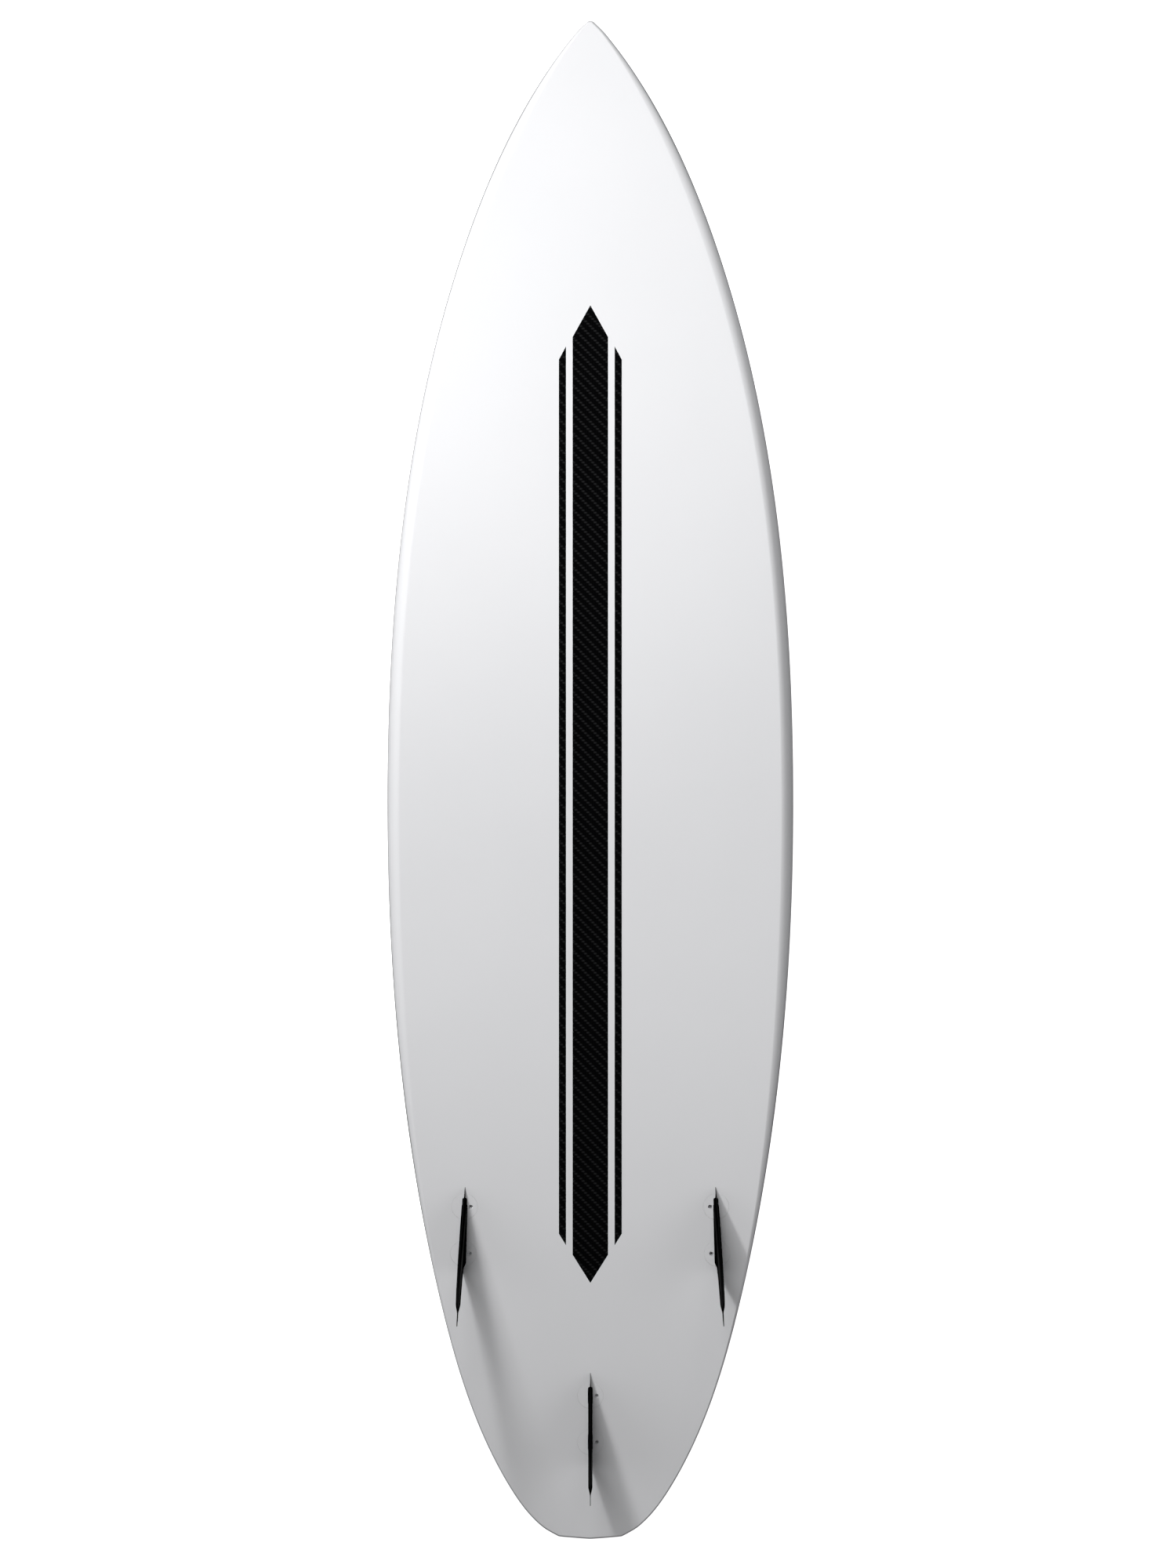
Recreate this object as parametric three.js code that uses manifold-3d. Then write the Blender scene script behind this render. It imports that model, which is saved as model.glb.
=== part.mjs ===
// A short performance surfboard with three fins, lying deck down with its fins up.
// Millimetres. +Z up, +Y towards the nose, X across. The origin is on the ground
// plane, under the middle of the board. "s" below is the distance from the tail
// end measured along Y, so Y = s - LENGTH / 2.
import * as THREE from "three";
import { mergeVertices } from "three/addons/utils/BufferGeometryUtils.js";
import Module from "manifold-3d";

const wasm = await Module();
wasm.setup();

// ---------------------------------------------------------------- dimensions
const LENGTH = 1701.8;            // 5 ft 7 in
const WIDTH = 454.0;              // 17 7/8 in
const THICKNESS = 55.6;           // 2 3/16 in

// half plan outline from the middle of the tail to the nose tip: [x, s]
const OUTLINE = [
  [0, 0], [6, 0.31], [12, 0.74], [18, 1.22], [24, 1.73], [30, 2.25], [33.4, 2.6], [35.4, 2.98],
  [37.2, 3.8], [39.4, 5.0], [42.48, 6.7], [50.61, 11.49], [59.15, 18.51],
  [68.39, 28.01], [78.66, 40.98], [89.84, 57.99], [102.41, 79.98], [117.19, 109.98], [133.56, 150.01],
  [150.03, 200.03], [165.94, 260.01], [181.44, 329.99], [195.97, 409.99], [208.6, 500.01], [218.42, 600.01],
  [224.3, 700.04], [226.67, 799.96], [225.94, 900], [221.95, 999.96], [213.92, 1099.98], [201, 1199.96],
  [184.38, 1289.96], [164.96, 1370.03], [143.92, 1439.96], [122.31, 1500.01], [101.02, 1549.97],
  [81.13, 1590.01], [62.93, 1622.02], [46.32, 1647.99], [32.86, 1667.03], [22.1, 1680.99], [14.12, 1690.53],
  [8.47, 1696.15], [4.2, 1700.15], [2.3, 1701.58], [0, 1701.8],
];
const OUTLINE_SCALE = WIDTH / 2 / 226.67;

// tables against s: [s, value]
const ROCKER = [[0, 60], [150, 38.5], [305, 21.6], [500, 7.6], [700, 1.3], [850, 0.1], [1000, 4.6],
  [1200, 23.0], [1397, 55.5], [1550, 90.0], [LENGTH, 133]];
const THICK = [[0, 11], [50, 16.2], [100, 21.6], [200, 30.6], [305, 38.2], [500, 48.0], [700, 53.9],
  [880, THICKNESS], [1060, 54.2], [1230, 49.2], [1397, 38.4], [1550, 24.0], [1650, 13.8], [LENGTH, 8.5]];
const APEX = [[0, 2.2], [150, 2.4], [300, 4.2], [500, 9], [700, 14], [900, 17], [1150, 16.4],
  [1397, 12.4], [1550, 9.2], [1640, 6.4], [LENGTH, 4]];       // height of the rail's widest line above the bottom
const TUCK = [[0, 1.6], [150, 1.8], [300, 3.6], [450, 8], [600, 12], [800, 14], [1200, 14], [1400, 13.6],
  [1550, 11.5], [1640, 7], [LENGTH, 2.2]];            // how far inside the outline the bottom edge runs
const HULL_LIFT = 68.905;           // height of the bottom at the tail end, plus its rocker
const HULL_PITCH = 0.040708;        // slope that puts nose and tail on the ground together
const DOME_P = 2.65, DOME_Q = 0.53; // crown of the deck across the board
const DOME_TAIL = 3.6, DOME_NOSE = 1.6;  // the crown is flatter and its edge tighter at the ends
const TUCK_A = 1.6;               // roundness of the rail below its widest line
const FAN_TAIL = 55, FAN_NOSE = 60;  // section lines fan out over these lengths at the ends

const SKIN = 1.4;                 // glass and epoxy skin
const GAP = 0.3;                  // between pieces that touch
const STRIP = 0.7;                // carbon strip thickness
const STRIP_WIDE = 39.6;
const STRIP_NARROW = [27.2, 35.2];             // inner and outer edge of a narrow strip
const STRIP_WIDE_S = [287.6, 319.2, 1346.6, 1382.2];   // tip, full width, full width, tip
const STRIP_NARROW_S = [[329.8, 342.9], [1336.2, 1321.2]]; // tail end and nose end: inner edge, outer edge

const FIN = {
  side: { x: 141.4, s: 346.9, toe: 1.4, cant: 2.8, base: 97.4, depth: 112, over: 45, thick: 6.4, taper: 0.2, lead: 21, hollow: 3.4 },
  centre: { x: 0, s: 134.9, toe: 0, cant: 0, base: 105, depth: 108, over: 26, thick: 4.8, taper: 0.02, lead: 24, hollow: 4.5 },
};
const FIN_LIFT = 0.5;             // the blade's base stands this far off the bottom
const FIN_EDGE = 0.4;             // half thickness of the trailing edge
const TAB = { at: 26.5, length: 19, thick: 4.6, depth: 13 };
const PLUG = { r: 14.5, depth: 17, slotLength: 20, slotWidth: 5.6, slotDepth: 14.2 };
const SCREW = { r: 2, length: 6, tilt: 20, tipV: 4.3, tipW: -7, hex: 2, socket: 2, holeR: 2.25 };
const CUP = { s: 64, r: 15, depth: 14.5, mouth: 11, floor: 9, hollow: 12, proud: 0.3 };
const PIN = { r: 1.75, half: 13, down: 3.2 };

// ---------------------------------------------------------------- curves
function spline(pts) {            // natural cubic through [x, y] pairs
  const n = pts.length, x = pts.map((p) => p[0]), y = pts.map((p) => p[1]);
  const m = new Array(n).fill(0), c = new Array(n).fill(0), d = new Array(n).fill(0);
  for (let i = 1; i < n - 1; i++) {
    const h0 = x[i] - x[i - 1], h1 = x[i + 1] - x[i];
    const r = 6 * ((y[i + 1] - y[i]) / h1 - (y[i] - y[i - 1]) / h0);
    const b = 2 * (h0 + h1) - h0 * c[i - 1];
    c[i] = h1 / b;
    d[i] = (r - h0 * d[i - 1]) / b;
  }
  for (let i = n - 2; i > 0; i--) m[i] = d[i] - c[i] * m[i + 1];
  const at = (t) => {
    let i = 0;
    while (i < n - 2 && t > x[i + 1]) i++;
    const h = x[i + 1] - x[i], a = (x[i + 1] - t) / h, b = (t - x[i]) / h;
    return a * y[i] + b * y[i + 1] + ((a * a * a - a) * m[i] + (b * b * b - b) * m[i + 1]) * h * h / 6;
  };
  at.slope = (t) => (at(t + 0.5) - at(t - 0.5));
  return at;
}

const rocker = spline(ROCKER), thick = spline(THICK), apex = spline(APEX), tuck = spline(TUCK);
const bottomZ = (s) => HULL_LIFT + HULL_PITCH * s - rocker(s);
const bottomSlope = (s) => HULL_PITCH - rocker.slope(s);

// the outline as a smooth curve against its own length, mirrored past both ends
const outline = (() => {
  const p = OUTLINE.map(([x, s]) => [x * OUTLINE_SCALE, s]);
  const n = p.length;
  const all = [3, 2, 1].map((i) => [-p[i][0], p[i][1]]).concat(p, [2, 3, 4].map((i) => [-p[n - i][0], p[n - i][1]]));
  const d = [0];
  for (let i = 1; i < all.length; i++) d.push(d[i - 1] + Math.hypot(all[i][0] - all[i - 1][0], all[i][1] - all[i - 1][1]));
  const fx = spline(all.map((q, i) => [d[i], q[0]])), fs = spline(all.map((q, i) => [d[i], q[1]]));
  return { at: (t) => [fx(t), fs(t)], knots: d.slice(3, 3 + n) };
})();

// ---------------------------------------------------------------- the hull
// Stations run round the half outline. Each has a straight section line in plan
// from the outline to a point on the centreline. The lines fan out at both ends,
// so the rail runs right round the tail and the nose.
const STATIONS = [0, 3, 6, 8, 10, 11, 12, 13, 14, 15, 16, 17, 18, 19, 20, 21, 22, 23, 24, 25, 26, 27, 28,
  29, 30, 31, 32, 33, 34, 35, 36, 37, 38, 39, 40, 41, 42, 44, 45];
const BOTTOM_F = [0, 1];                            // fractions of the way out to the tuck edge
const RAIL_U = [0.5, 0.82, 1];                      // then round to the widest line
const DECK_F = [0.99, 0.955, 0.875, 0.72, 0.42, 0];   // then in over the deck

function station(k, inset) {
  const t = outline.knots[k], [x, s] = outline.at(t);
  const a = outline.at(t - 0.05), b = outline.at(t + 0.05);
  const l = Math.hypot(b[0] - a[0], b[1] - a[1]);
  const nx = -(b[1] - a[1]) / l, ns = (b[0] - a[0]) / l;      // inward normal
  const end = k === 0 || k === OUTLINE.length - 1;
  const px = end ? 0 : x + nx * inset, ps = s + ns * inset;
  let c = s + 45 * Math.exp(-s / 150) - 50 * Math.exp(-(LENGTH - s) / 150);
  c = Math.min(Math.max(c, FAN_TAIL), LENGTH - FAN_NOSE);
  const E = Math.hypot(px, c - ps);
  const cos = Math.max(0.3, (-px * nx + (c - ps) * ns) / E);
  return { px, ps, s, c, E, cos };
}

// inset 0 is the outer surface; inset d is the same shape with a wall of d taken off
function section(k, inset) {
  const q = station(k, inset);
  const sc = Math.min(Math.max(q.s, 0), LENGTH);
  const ha = Math.max(apex(sc) - inset, 0.4), et = Math.min(tuck(sc), 0.5 * q.E * q.cos);
  const at = (f) => [q.px * f, q.c + (q.ps - q.c) * f];
  const edge = 1 - et / (q.E * q.cos);
  const P = DOME_P + DOME_TAIL * Math.exp(-sc / 90) + DOME_NOSE * Math.exp(-(LENGTH - sc) / 80);
  const bottom = [], deck = [];
  for (const f of BOTTOM_F) {
    const [x, s] = at(f * edge);
    bottom.push([x, s, bottomZ(s) - inset]);
  }
  for (const u of RAIL_U) {
    const [x, s] = at(edge + (1 - edge) * u);
    bottom.push([x, s, bottomZ(s) - inset - ha * (1 - Math.sqrt(1 - Math.pow(u, TUCK_A)))]);
  }
  for (const f of DECK_F) {
    const [x, s] = at(f);
    const T = thick(s) - 2 * inset;
    deck.push([x, s, bottomZ(s) - inset - (ha + (T - ha) * Math.pow(1 - Math.pow(f, P), DOME_Q))]);
  }
  return { bottom, deck };
}

const world = ([x, s, z]) => [x, s - LENGTH / 2, z];

// ---------------------------------------------------------------- solids
class Faces {
  constructor() { this.v = []; }
  tri(a, b, c) { this.v.push(...a, ...b, ...c); }
  quad(a, b, c, d) { this.tri(a, b, c); this.tri(a, c, d); }
  grid(rows, flip) {
    for (let i = 0; i + 1 < rows.length; i++) {
      for (let j = 0; j + 1 < rows[i].length; j++) {
        const a = rows[i][j], b = rows[i][j + 1], c = rows[i + 1][j + 1], d = rows[i + 1][j];
        if (flip) this.quad(a, d, c, b); else this.quad(a, b, c, d);
      }
    }
  }
  mirror() {                       // adds the other half, x to -x
    const n = this.v.length;
    for (let i = 0; i < n; i += 9) {
      const p = (o) => [-this.v[i + o], this.v[i + o + 1], this.v[i + o + 2]];
      this.tri(p(0), p(6), p(3));
    }
  }
  geometry() {
    const g = new THREE.BufferGeometry();
    g.setAttribute("position", new THREE.BufferAttribute(new Float32Array(this.v), 3));
    return g;
  }
}

function solid(geometry) {         // closed geometry to a solid for joining and cutting
  let g = geometry.clone();
  g.deleteAttribute("normal");
  g.deleteAttribute("uv");
  g = mergeVertices(g, 1e-3);
  const p = g.attributes.position.array, idx = Array.from(g.index.array), keep = [];
  let volume = 0;
  for (let i = 0; i < idx.length; i += 3) {
    const [a, b, c] = [idx[i], idx[i + 1], idx[i + 2]];
    if (a === b || b === c || a === c) continue;
    keep.push(a, b, c);
    const A = new THREE.Vector3().fromArray(p, a * 3), B = new THREE.Vector3().fromArray(p, b * 3), C = new THREE.Vector3().fromArray(p, c * 3);
    volume += A.dot(B.cross(C)) / 6;
  }
  if (volume < 0) for (let i = 0; i < keep.length; i += 3) [keep[i + 1], keep[i + 2]] = [keep[i + 2], keep[i + 1]];
  return new wasm.Manifold(new wasm.Mesh({ numProp: 3, vertProperties: new Float32Array(p), triVerts: new Uint32Array(keep) }));
}

function toGeometry(m) {
  const mesh = m.getMesh(), n = mesh.numProp, src = mesh.vertProperties, count = src.length / n;
  const pos = new Float32Array(count * 3);
  for (let i = 0; i < count; i++) for (let k = 0; k < 3; k++) pos[i * 3 + k] = src[i * n + k];
  const g = new THREE.BufferGeometry();
  g.setAttribute("position", new THREE.BufferAttribute(pos, 3));
  g.setIndex(new THREE.BufferAttribute(new Uint32Array(mesh.triVerts), 1));
  return g;
}

const largest = (m) => {
  const parts = m.decompose();
  return parts.sort((a, b) => b.volume() - a.volume())[0];
};

function hullSolid(inset) {
  const f = new Faces();
  f.grid(STATIONS.map((k) => {
    const { bottom, deck } = section(k, inset);
    return bottom.concat(deck).map(world);
  }));
  f.mirror();
  return solid(f.geometry());
}

// a skin between the outer surface and the same surface one wall in
function skinSolid(side) {
  const outer = [], inner = [];
  for (const k of STATIONS) {
    const o = section(k, 0), i = section(k, SKIN);
    if (side === "bottom") {
      outer.push(o.bottom.map(world));
      inner.push(i.bottom.map(world));
    } else {
      const lower = (p) => [p[0], p[1], p[2] - GAP];      // clear of the bottom skin at the rail
      const oa = o.bottom[o.bottom.length - 1], ia = i.bottom[i.bottom.length - 1];
      outer.push([...o.deck].reverse().concat([lower(oa)]).map(world));
      inner.push([...i.deck].reverse().concat([lower(ia)]).map(world));
    }
  }
  const f = new Faces();
  f.grid(outer);
  f.grid(inner, true);
  const n = outer[0].length - 1;
  for (let i = 0; i + 1 < outer.length; i++) f.quad(outer[i][n], inner[i][n], inner[i + 1][n], outer[i + 1][n]);
  f.mirror();
  return solid(f.geometry());
}

// a slab following the bottom, between two edges given as functions of s
function bottomSlab(list, left, right, low, high) {
  const ring = list.map((s) => {
    const z = bottomZ(s), a = left(s), b = right(s);
    return [[a, s, z + low], [b, s, z + low], [b, s, z + high], [a, s, z + high], [a, s, z + low]].map(world);
  });
  const f = new Faces();
  f.grid(ring);
  const a = ring[0], b = ring[ring.length - 1];
  f.quad(a[3], a[2], a[1], a[0]);
  f.quad(b[0], b[1], b[2], b[3]);
  return solid(f.geometry());
}

const hullOuter = hullSolid(0);
const hullInner = hullSolid(SKIN + GAP);

// ---------------------------------------------------------------- carbon strips
const hullS = STATIONS.map((k) => OUTLINE[k][1]);
function stripStations(a, b, extra) {
  return [...new Set([a, b, ...extra, ...hullS.filter((s) => s > a + 8 && s < b - 8)])].sort((p, q) => p - q);
}
const lerp = (s, a, b, va, vb) => va + (vb - va) * Math.min(Math.max((s - a) / (b - a), 0), 1);

function wideStrip(grow, low, high) {
  const [a, b, c, d] = STRIP_WIDE_S, w = STRIP_WIDE / 2;
  const half = (s) => Math.max(grow, (s < (b + c) / 2 ? lerp(s, a, b, 0, w) : lerp(s, c, d, w, 0)) + grow);
  const list = stripStations(a - grow * 2, d + grow * 2, [b, c]);
  const ends = (s) => (s === list[0] || s === list[list.length - 1] ? 0 : half(s));
  return bottomSlab(list, (s) => -ends(s), ends, low, high);
}
function narrowStrip(side, grow, low, high) {
  // its ends are cut on the slant: the slanted end runs from the inner to the outer edge
  const [[ia, oa], [ib, ob]] = STRIP_NARROW_S;
  const [i0, o0, i1, o1] = [ia - 3.6 * grow, oa - 0.3 * grow, ib + 4 * grow, ob + 0.3 * grow];
  const [x0, x1] = [STRIP_NARROW[0] - grow, STRIP_NARROW[1] + grow];
  const list = stripStations(i0, i1, [o0, o1]);
  const outer = (s) => (s < (o0 + o1) / 2 ? lerp(s, i0, o0, x0, x1) : lerp(s, o1, i1, x1, x0));
  return side > 0 ? bottomSlab(list, () => x0, outer, low, high) : bottomSlab(list, (s) => -outer(s), () => -x0, low, high);
}

// ---------------------------------------------------------------- fins, plugs and screws
function finFrame(kind, side) {    // origin on the bottom, X axis forward, Y axis to port, Z axis out of the board
  const F = FIN[kind];
  const slope = bottomSlope(F.s);
  const up = new THREE.Vector3(0, -slope, 1).normalize();
  const toe = THREE.MathUtils.degToRad(F.toe) * side;
  let forward = new THREE.Vector3(-Math.sin(toe), Math.cos(toe), 0);
  forward.z = slope * forward.y;
  forward.normalize();
  up.applyAxisAngle(forward, THREE.MathUtils.degToRad(F.cant) * side);
  const port = new THREE.Vector3().crossVectors(up, forward).normalize();
  const m = new THREE.Matrix4().makeBasis(forward, port, up);
  m.setPosition(side * F.x, F.s - LENGTH / 2, bottomZ(F.s));
  return { F, m, up, forward, port };
}

// half the blade's thickness at a height of r of its depth: it tapers, and the tip
// is ground down to a thin edge
function bladeHalf(F, r) {
  const half = 0.5 * F.thick * (1 - F.taper * r), t = Math.min(Math.max((r - 0.84) / 0.09, 0), 1);
  return FIN_EDGE + (half - FIN_EDGE) * (1 - t * t * (3 - 2 * t));
}

// the blade's section: [distance behind the leading edge, half thickness]. Both edges
// are ground hollow and thin, and the middle is flat.
function bladeSection(F, chord, half) {
  const lead = Math.min(F.lead, 0.34 * chord), trail = Math.min(13, 0.62 * chord), out = [];
  for (const u of [0.4, 0.75, 1]) out.push([lead * u, 0.25 + (half - 0.25) * Math.pow(u, F.hollow)]);
  for (const u of [1, 0.7, 0.35]) {
    const v = Math.max(0, (u - 0.3) / 0.7);
    out.push([chord - trail * u, FIN_EDGE + (half - FIN_EDGE) * v * v * (3 - 2 * v)]);
  }
  return out;
}

function bladeCurves(F) {          // leading and trailing edge, as distance behind the front of the base
  const d = F.depth, b = F.base, o = F.over;
  const lead = spline([[0, 0], [0.09, 0.042], [0.22, 0.118], [0.4, 0.24], [0.58, 0.385], [0.72, 0.52],
    [0.83, 0.655], [0.91, 0.785], [0.96, 0.885], [0.988, 0.952], [1, 0.985]].map(([w, a]) => [w * d, a * (b + o)]));
  const trail = spline([[0, 0], [0.08, -0.07], [0.2, -0.1], [0.33, -0.05], [0.47, 0.08], [0.6, 0.28], [0.73, 0.53],
    [0.84, 0.77], [0.92, 0.92], [0.97, 0.99], [0.99, 0.995], [1, 0.965]].map(([w, a]) => [w * d, b + a * o]));
  return { lead, trail };
}
const BLADE_ROWS = [0.16, 0.33, 0.5, 0.66, 0.79, 0.88, 0.945, 0.982, 0.997];

function bladeSolid(F) {           // in the fin's frame
  const { lead, trail } = bladeCurves(F), rows = [];
  for (const r of [FIN_LIFT / F.depth, ...BLADE_ROWS]) {
    const w = r * F.depth, a = lead(w), b = trail(w), chord = b - a;
    const X = (x) => F.base / 2 - (a + x);
    const sec = bladeSection(F, chord, bladeHalf(F, r));
    const port = sec.map(([x, y]) => [X(x), y, w]);
    const star = sec.map(([x, y]) => [X(x), -y, w]).reverse();
    rows.push([[X(0), 0, w], ...port, [X(chord), FIN_EDGE, w], [X(chord), -FIN_EDGE, w], ...star, [X(0), 0, w]]);
  }
  const f = new Faces();
  f.grid(rows);
  for (const [row, flip] of [[rows[0], false], [rows[rows.length - 1], true]]) {
    const n = row.length - 1;      // last repeats the first
    for (let i = 0; i < n / 2; i++) {
      const a = row[i], b = row[i + 1], c = row[n - i - 1], d = row[n - i];
      if (flip) f.quad(a, b, c, d); else f.quad(d, c, b, a);
    }
  }
  return solid(f.geometry());
}

const box = (x, y, z, cx, cy, cz) => solid(new THREE.BoxGeometry(x, y, z).translate(cx, cy, cz));
// a round bar along Z from z0 to z1
const bar = (r, z0, z1, n) => new THREE.CylinderGeometry(r, r, z1 - z0, n).rotateX(Math.PI / 2).translate(0, 0, (z0 + z1) / 2);

function screwMatrix(cx, port) {   // the screw's own Z axis points out of its hole
  const a = THREE.MathUtils.degToRad(SCREW.tilt);
  const z = new THREE.Vector3(0, port * Math.sin(a), Math.cos(a));
  const x = new THREE.Vector3(1, 0, 0), y = new THREE.Vector3().crossVectors(z, x);
  return new THREE.Matrix4().makeBasis(x, y, z).setPosition(cx, port * SCREW.tipV, SCREW.tipW);
}

const finSolid = (F) => {
  let m = bladeSolid(F);
  for (const at of [TAB.at, -TAB.at]) m = m.add(box(TAB.length, TAB.thick, TAB.depth + 0.9, at, 0, (0.9 - TAB.depth) / 2));
  return m;
};

function plugSolid(frame, at, screwSide) {
  const place = (g) => solid(g.applyMatrix4(frame.m));
  const round = place(bar(PLUG.r, -PLUG.depth, 6, 24).translate(at, 0, 0)).intersect(hullOuter);
  const slot = place(new THREE.BoxGeometry(PLUG.slotLength, PLUG.slotWidth, PLUG.slotDepth + 8).translate(at, 0, (8 - PLUG.slotDepth) / 2));
  const hole = place(bar(SCREW.holeR, -0.5, 14, 16).applyMatrix4(screwMatrix(at, screwSide)));
  return round.subtract(slot).subtract(hole);
}

function screwSolid(frame, at, screwSide) {
  const body = solid(bar(SCREW.r, 0, SCREW.length, 16));
  const hex = solid(bar(SCREW.hex / 2 / Math.cos(Math.PI / 6), SCREW.length - SCREW.socket, SCREW.length + 2, 6));
  return solid(toGeometry(body.subtract(hex)).applyMatrix4(screwMatrix(at, screwSide)).applyMatrix4(frame.m));
}

const FINS = [
  { name: "left", frame: finFrame("side", -1), screwSide: -1 },
  { name: "right", frame: finFrame("side", 1), screwSide: 1 },
  { name: "centre", frame: finFrame("centre", 0), screwSide: -1 },
];
const ENDS = [["front", TAB.at], ["rear", -TAB.at]];

// ---------------------------------------------------------------- leash cup
const cupZ = bottomZ(CUP.s) - thick(CUP.s);
const cupSlope = bottomSlope(CUP.s) - thick.slope(CUP.s);
const cupMatrix = (() => {         // its own Z axis points out of the deck, which faces the ground
  const z = new THREE.Vector3(0, cupSlope, -1).normalize();
  const x = new THREE.Vector3(1, 0, 0), y = new THREE.Vector3().crossVectors(z, x);
  return new THREE.Matrix4().makeBasis(x, y, z).setPosition(0, CUP.s - LENGTH / 2, cupZ);
})();
const cupPart = (g) => solid(g.applyMatrix4(cupMatrix));
const lathe = (pts, n) => new THREE.LatheGeometry(pts.map(([r, z]) => new THREE.Vector2(r, z)), n).rotateX(Math.PI / 2);

const cup = cupPart(lathe([
  [0, -CUP.depth], [CUP.r, -CUP.depth], [CUP.r, CUP.proud], [CUP.mouth, CUP.proud], [CUP.mouth - 0.4, -2],
  [CUP.floor, -9.5], [CUP.floor - 2, -CUP.hollow], [0, -CUP.hollow],
], 24)).subtract(cupPart(new THREE.CylinderGeometry(PIN.r + GAP, PIN.r + GAP, (PIN.half + GAP) * 2, 16).rotateZ(Math.PI / 2).translate(0, 0, -PIN.down)));
const pin = cupPart(new THREE.CylinderGeometry(PIN.r, PIN.r, PIN.half * 2, 14).rotateZ(Math.PI / 2).translate(0, 0, -PIN.down));
const cupHole = cupPart(bar(CUP.r + GAP, -CUP.depth - GAP, 8, 24));

// ---------------------------------------------------------------- assembly
const board = new THREE.Group();
const WHITE = { color: 0xf4f5f6, roughness: 0.08, metalness: 0 };
const CARBON = { color: 0x0b0b0c, roughness: 0.25, metalness: 0 };
const BLACK = { color: 0x060606, roughness: 0.35, metalness: 0 };
const PLASTIC = { color: 0xeeeff0, roughness: 0.45, metalness: 0 };
const STEEL = { color: 0xb9bcc0, roughness: 0.3, metalness: 1 };
const FOAM = { color: 0xf6f6f2, roughness: 0.95, metalness: 0 };

function addMesh(name, piece, material) {
  const mesh = new THREE.Mesh(toGeometry(piece), new THREE.MeshStandardMaterial(material));
  mesh.name = name;
  board.add(mesh);
}

let foam = hullInner, bottomSkin = skinSolid("bottom"), deckSkin = skinSolid("deck");
for (const fin of FINS) {
  for (const [, at] of ENDS) {
    const hole = solid(bar(PLUG.r + GAP, -PLUG.depth - GAP, 6, 24).translate(at, 0, 0).applyMatrix4(fin.frame.m));
    foam = foam.subtract(hole);
    bottomSkin = bottomSkin.subtract(hole);
  }
}
foam = foam.subtract(cupHole);
deckSkin = deckSkin.subtract(cupHole);
for (const cut of [wideStrip(GAP, -STRIP - GAP, 4), narrowStrip(1, GAP, -STRIP - GAP, 4), narrowStrip(-1, GAP, -STRIP - GAP, 4)]) {
  bottomSkin = bottomSkin.subtract(cut);
}

addMesh("foam_core", largest(foam), FOAM);
addMesh("bottom_laminate", largest(bottomSkin), WHITE);
addMesh("deck_laminate", largest(deckSkin), WHITE);
addMesh("strip_centre", largest(wideStrip(0, -STRIP, 4).intersect(hullOuter)), CARBON);
addMesh("strip_left", largest(narrowStrip(-1, 0, -STRIP, 4).intersect(hullOuter)), CARBON);
addMesh("strip_right", largest(narrowStrip(1, 0, -STRIP, 4).intersect(hullOuter)), CARBON);
for (const fin of FINS) {
  addMesh(`fin_${fin.name}`, solid(toGeometry(finSolid(fin.frame.F)).applyMatrix4(fin.frame.m)), BLACK);
  for (const [end, at] of ENDS) {
    addMesh(`fin_plug_${fin.name}_${end}`, largest(plugSolid(fin.frame, at, fin.screwSide)), PLASTIC);
    addMesh(`grub_screw_${fin.name}_${end}`, screwSolid(fin.frame, at, fin.screwSide), STEEL);
  }
}
addMesh("leash_cup", cup, PLASTIC);
addMesh("leash_pin", pin, STEEL);

export default board;
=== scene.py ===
import math

import bmesh
import bpy
import numpy as np
from mathutils import Matrix, Vector
from mathutils.geometry import delaunay_2d_cdt

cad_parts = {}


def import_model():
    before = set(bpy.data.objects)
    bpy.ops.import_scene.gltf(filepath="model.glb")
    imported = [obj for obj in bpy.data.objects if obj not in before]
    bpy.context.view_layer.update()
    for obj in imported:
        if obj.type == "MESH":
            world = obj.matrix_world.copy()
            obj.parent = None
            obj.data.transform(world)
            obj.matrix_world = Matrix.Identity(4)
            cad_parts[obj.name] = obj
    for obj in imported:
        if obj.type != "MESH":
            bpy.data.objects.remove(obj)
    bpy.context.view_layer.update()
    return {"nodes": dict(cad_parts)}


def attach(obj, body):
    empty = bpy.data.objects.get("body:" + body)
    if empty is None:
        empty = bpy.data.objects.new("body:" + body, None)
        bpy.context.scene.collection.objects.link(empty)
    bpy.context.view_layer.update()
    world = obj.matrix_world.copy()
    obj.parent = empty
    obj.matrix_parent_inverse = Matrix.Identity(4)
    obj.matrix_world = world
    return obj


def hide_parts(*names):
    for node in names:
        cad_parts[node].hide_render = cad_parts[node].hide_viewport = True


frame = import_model()
MM = 0.001

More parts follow.
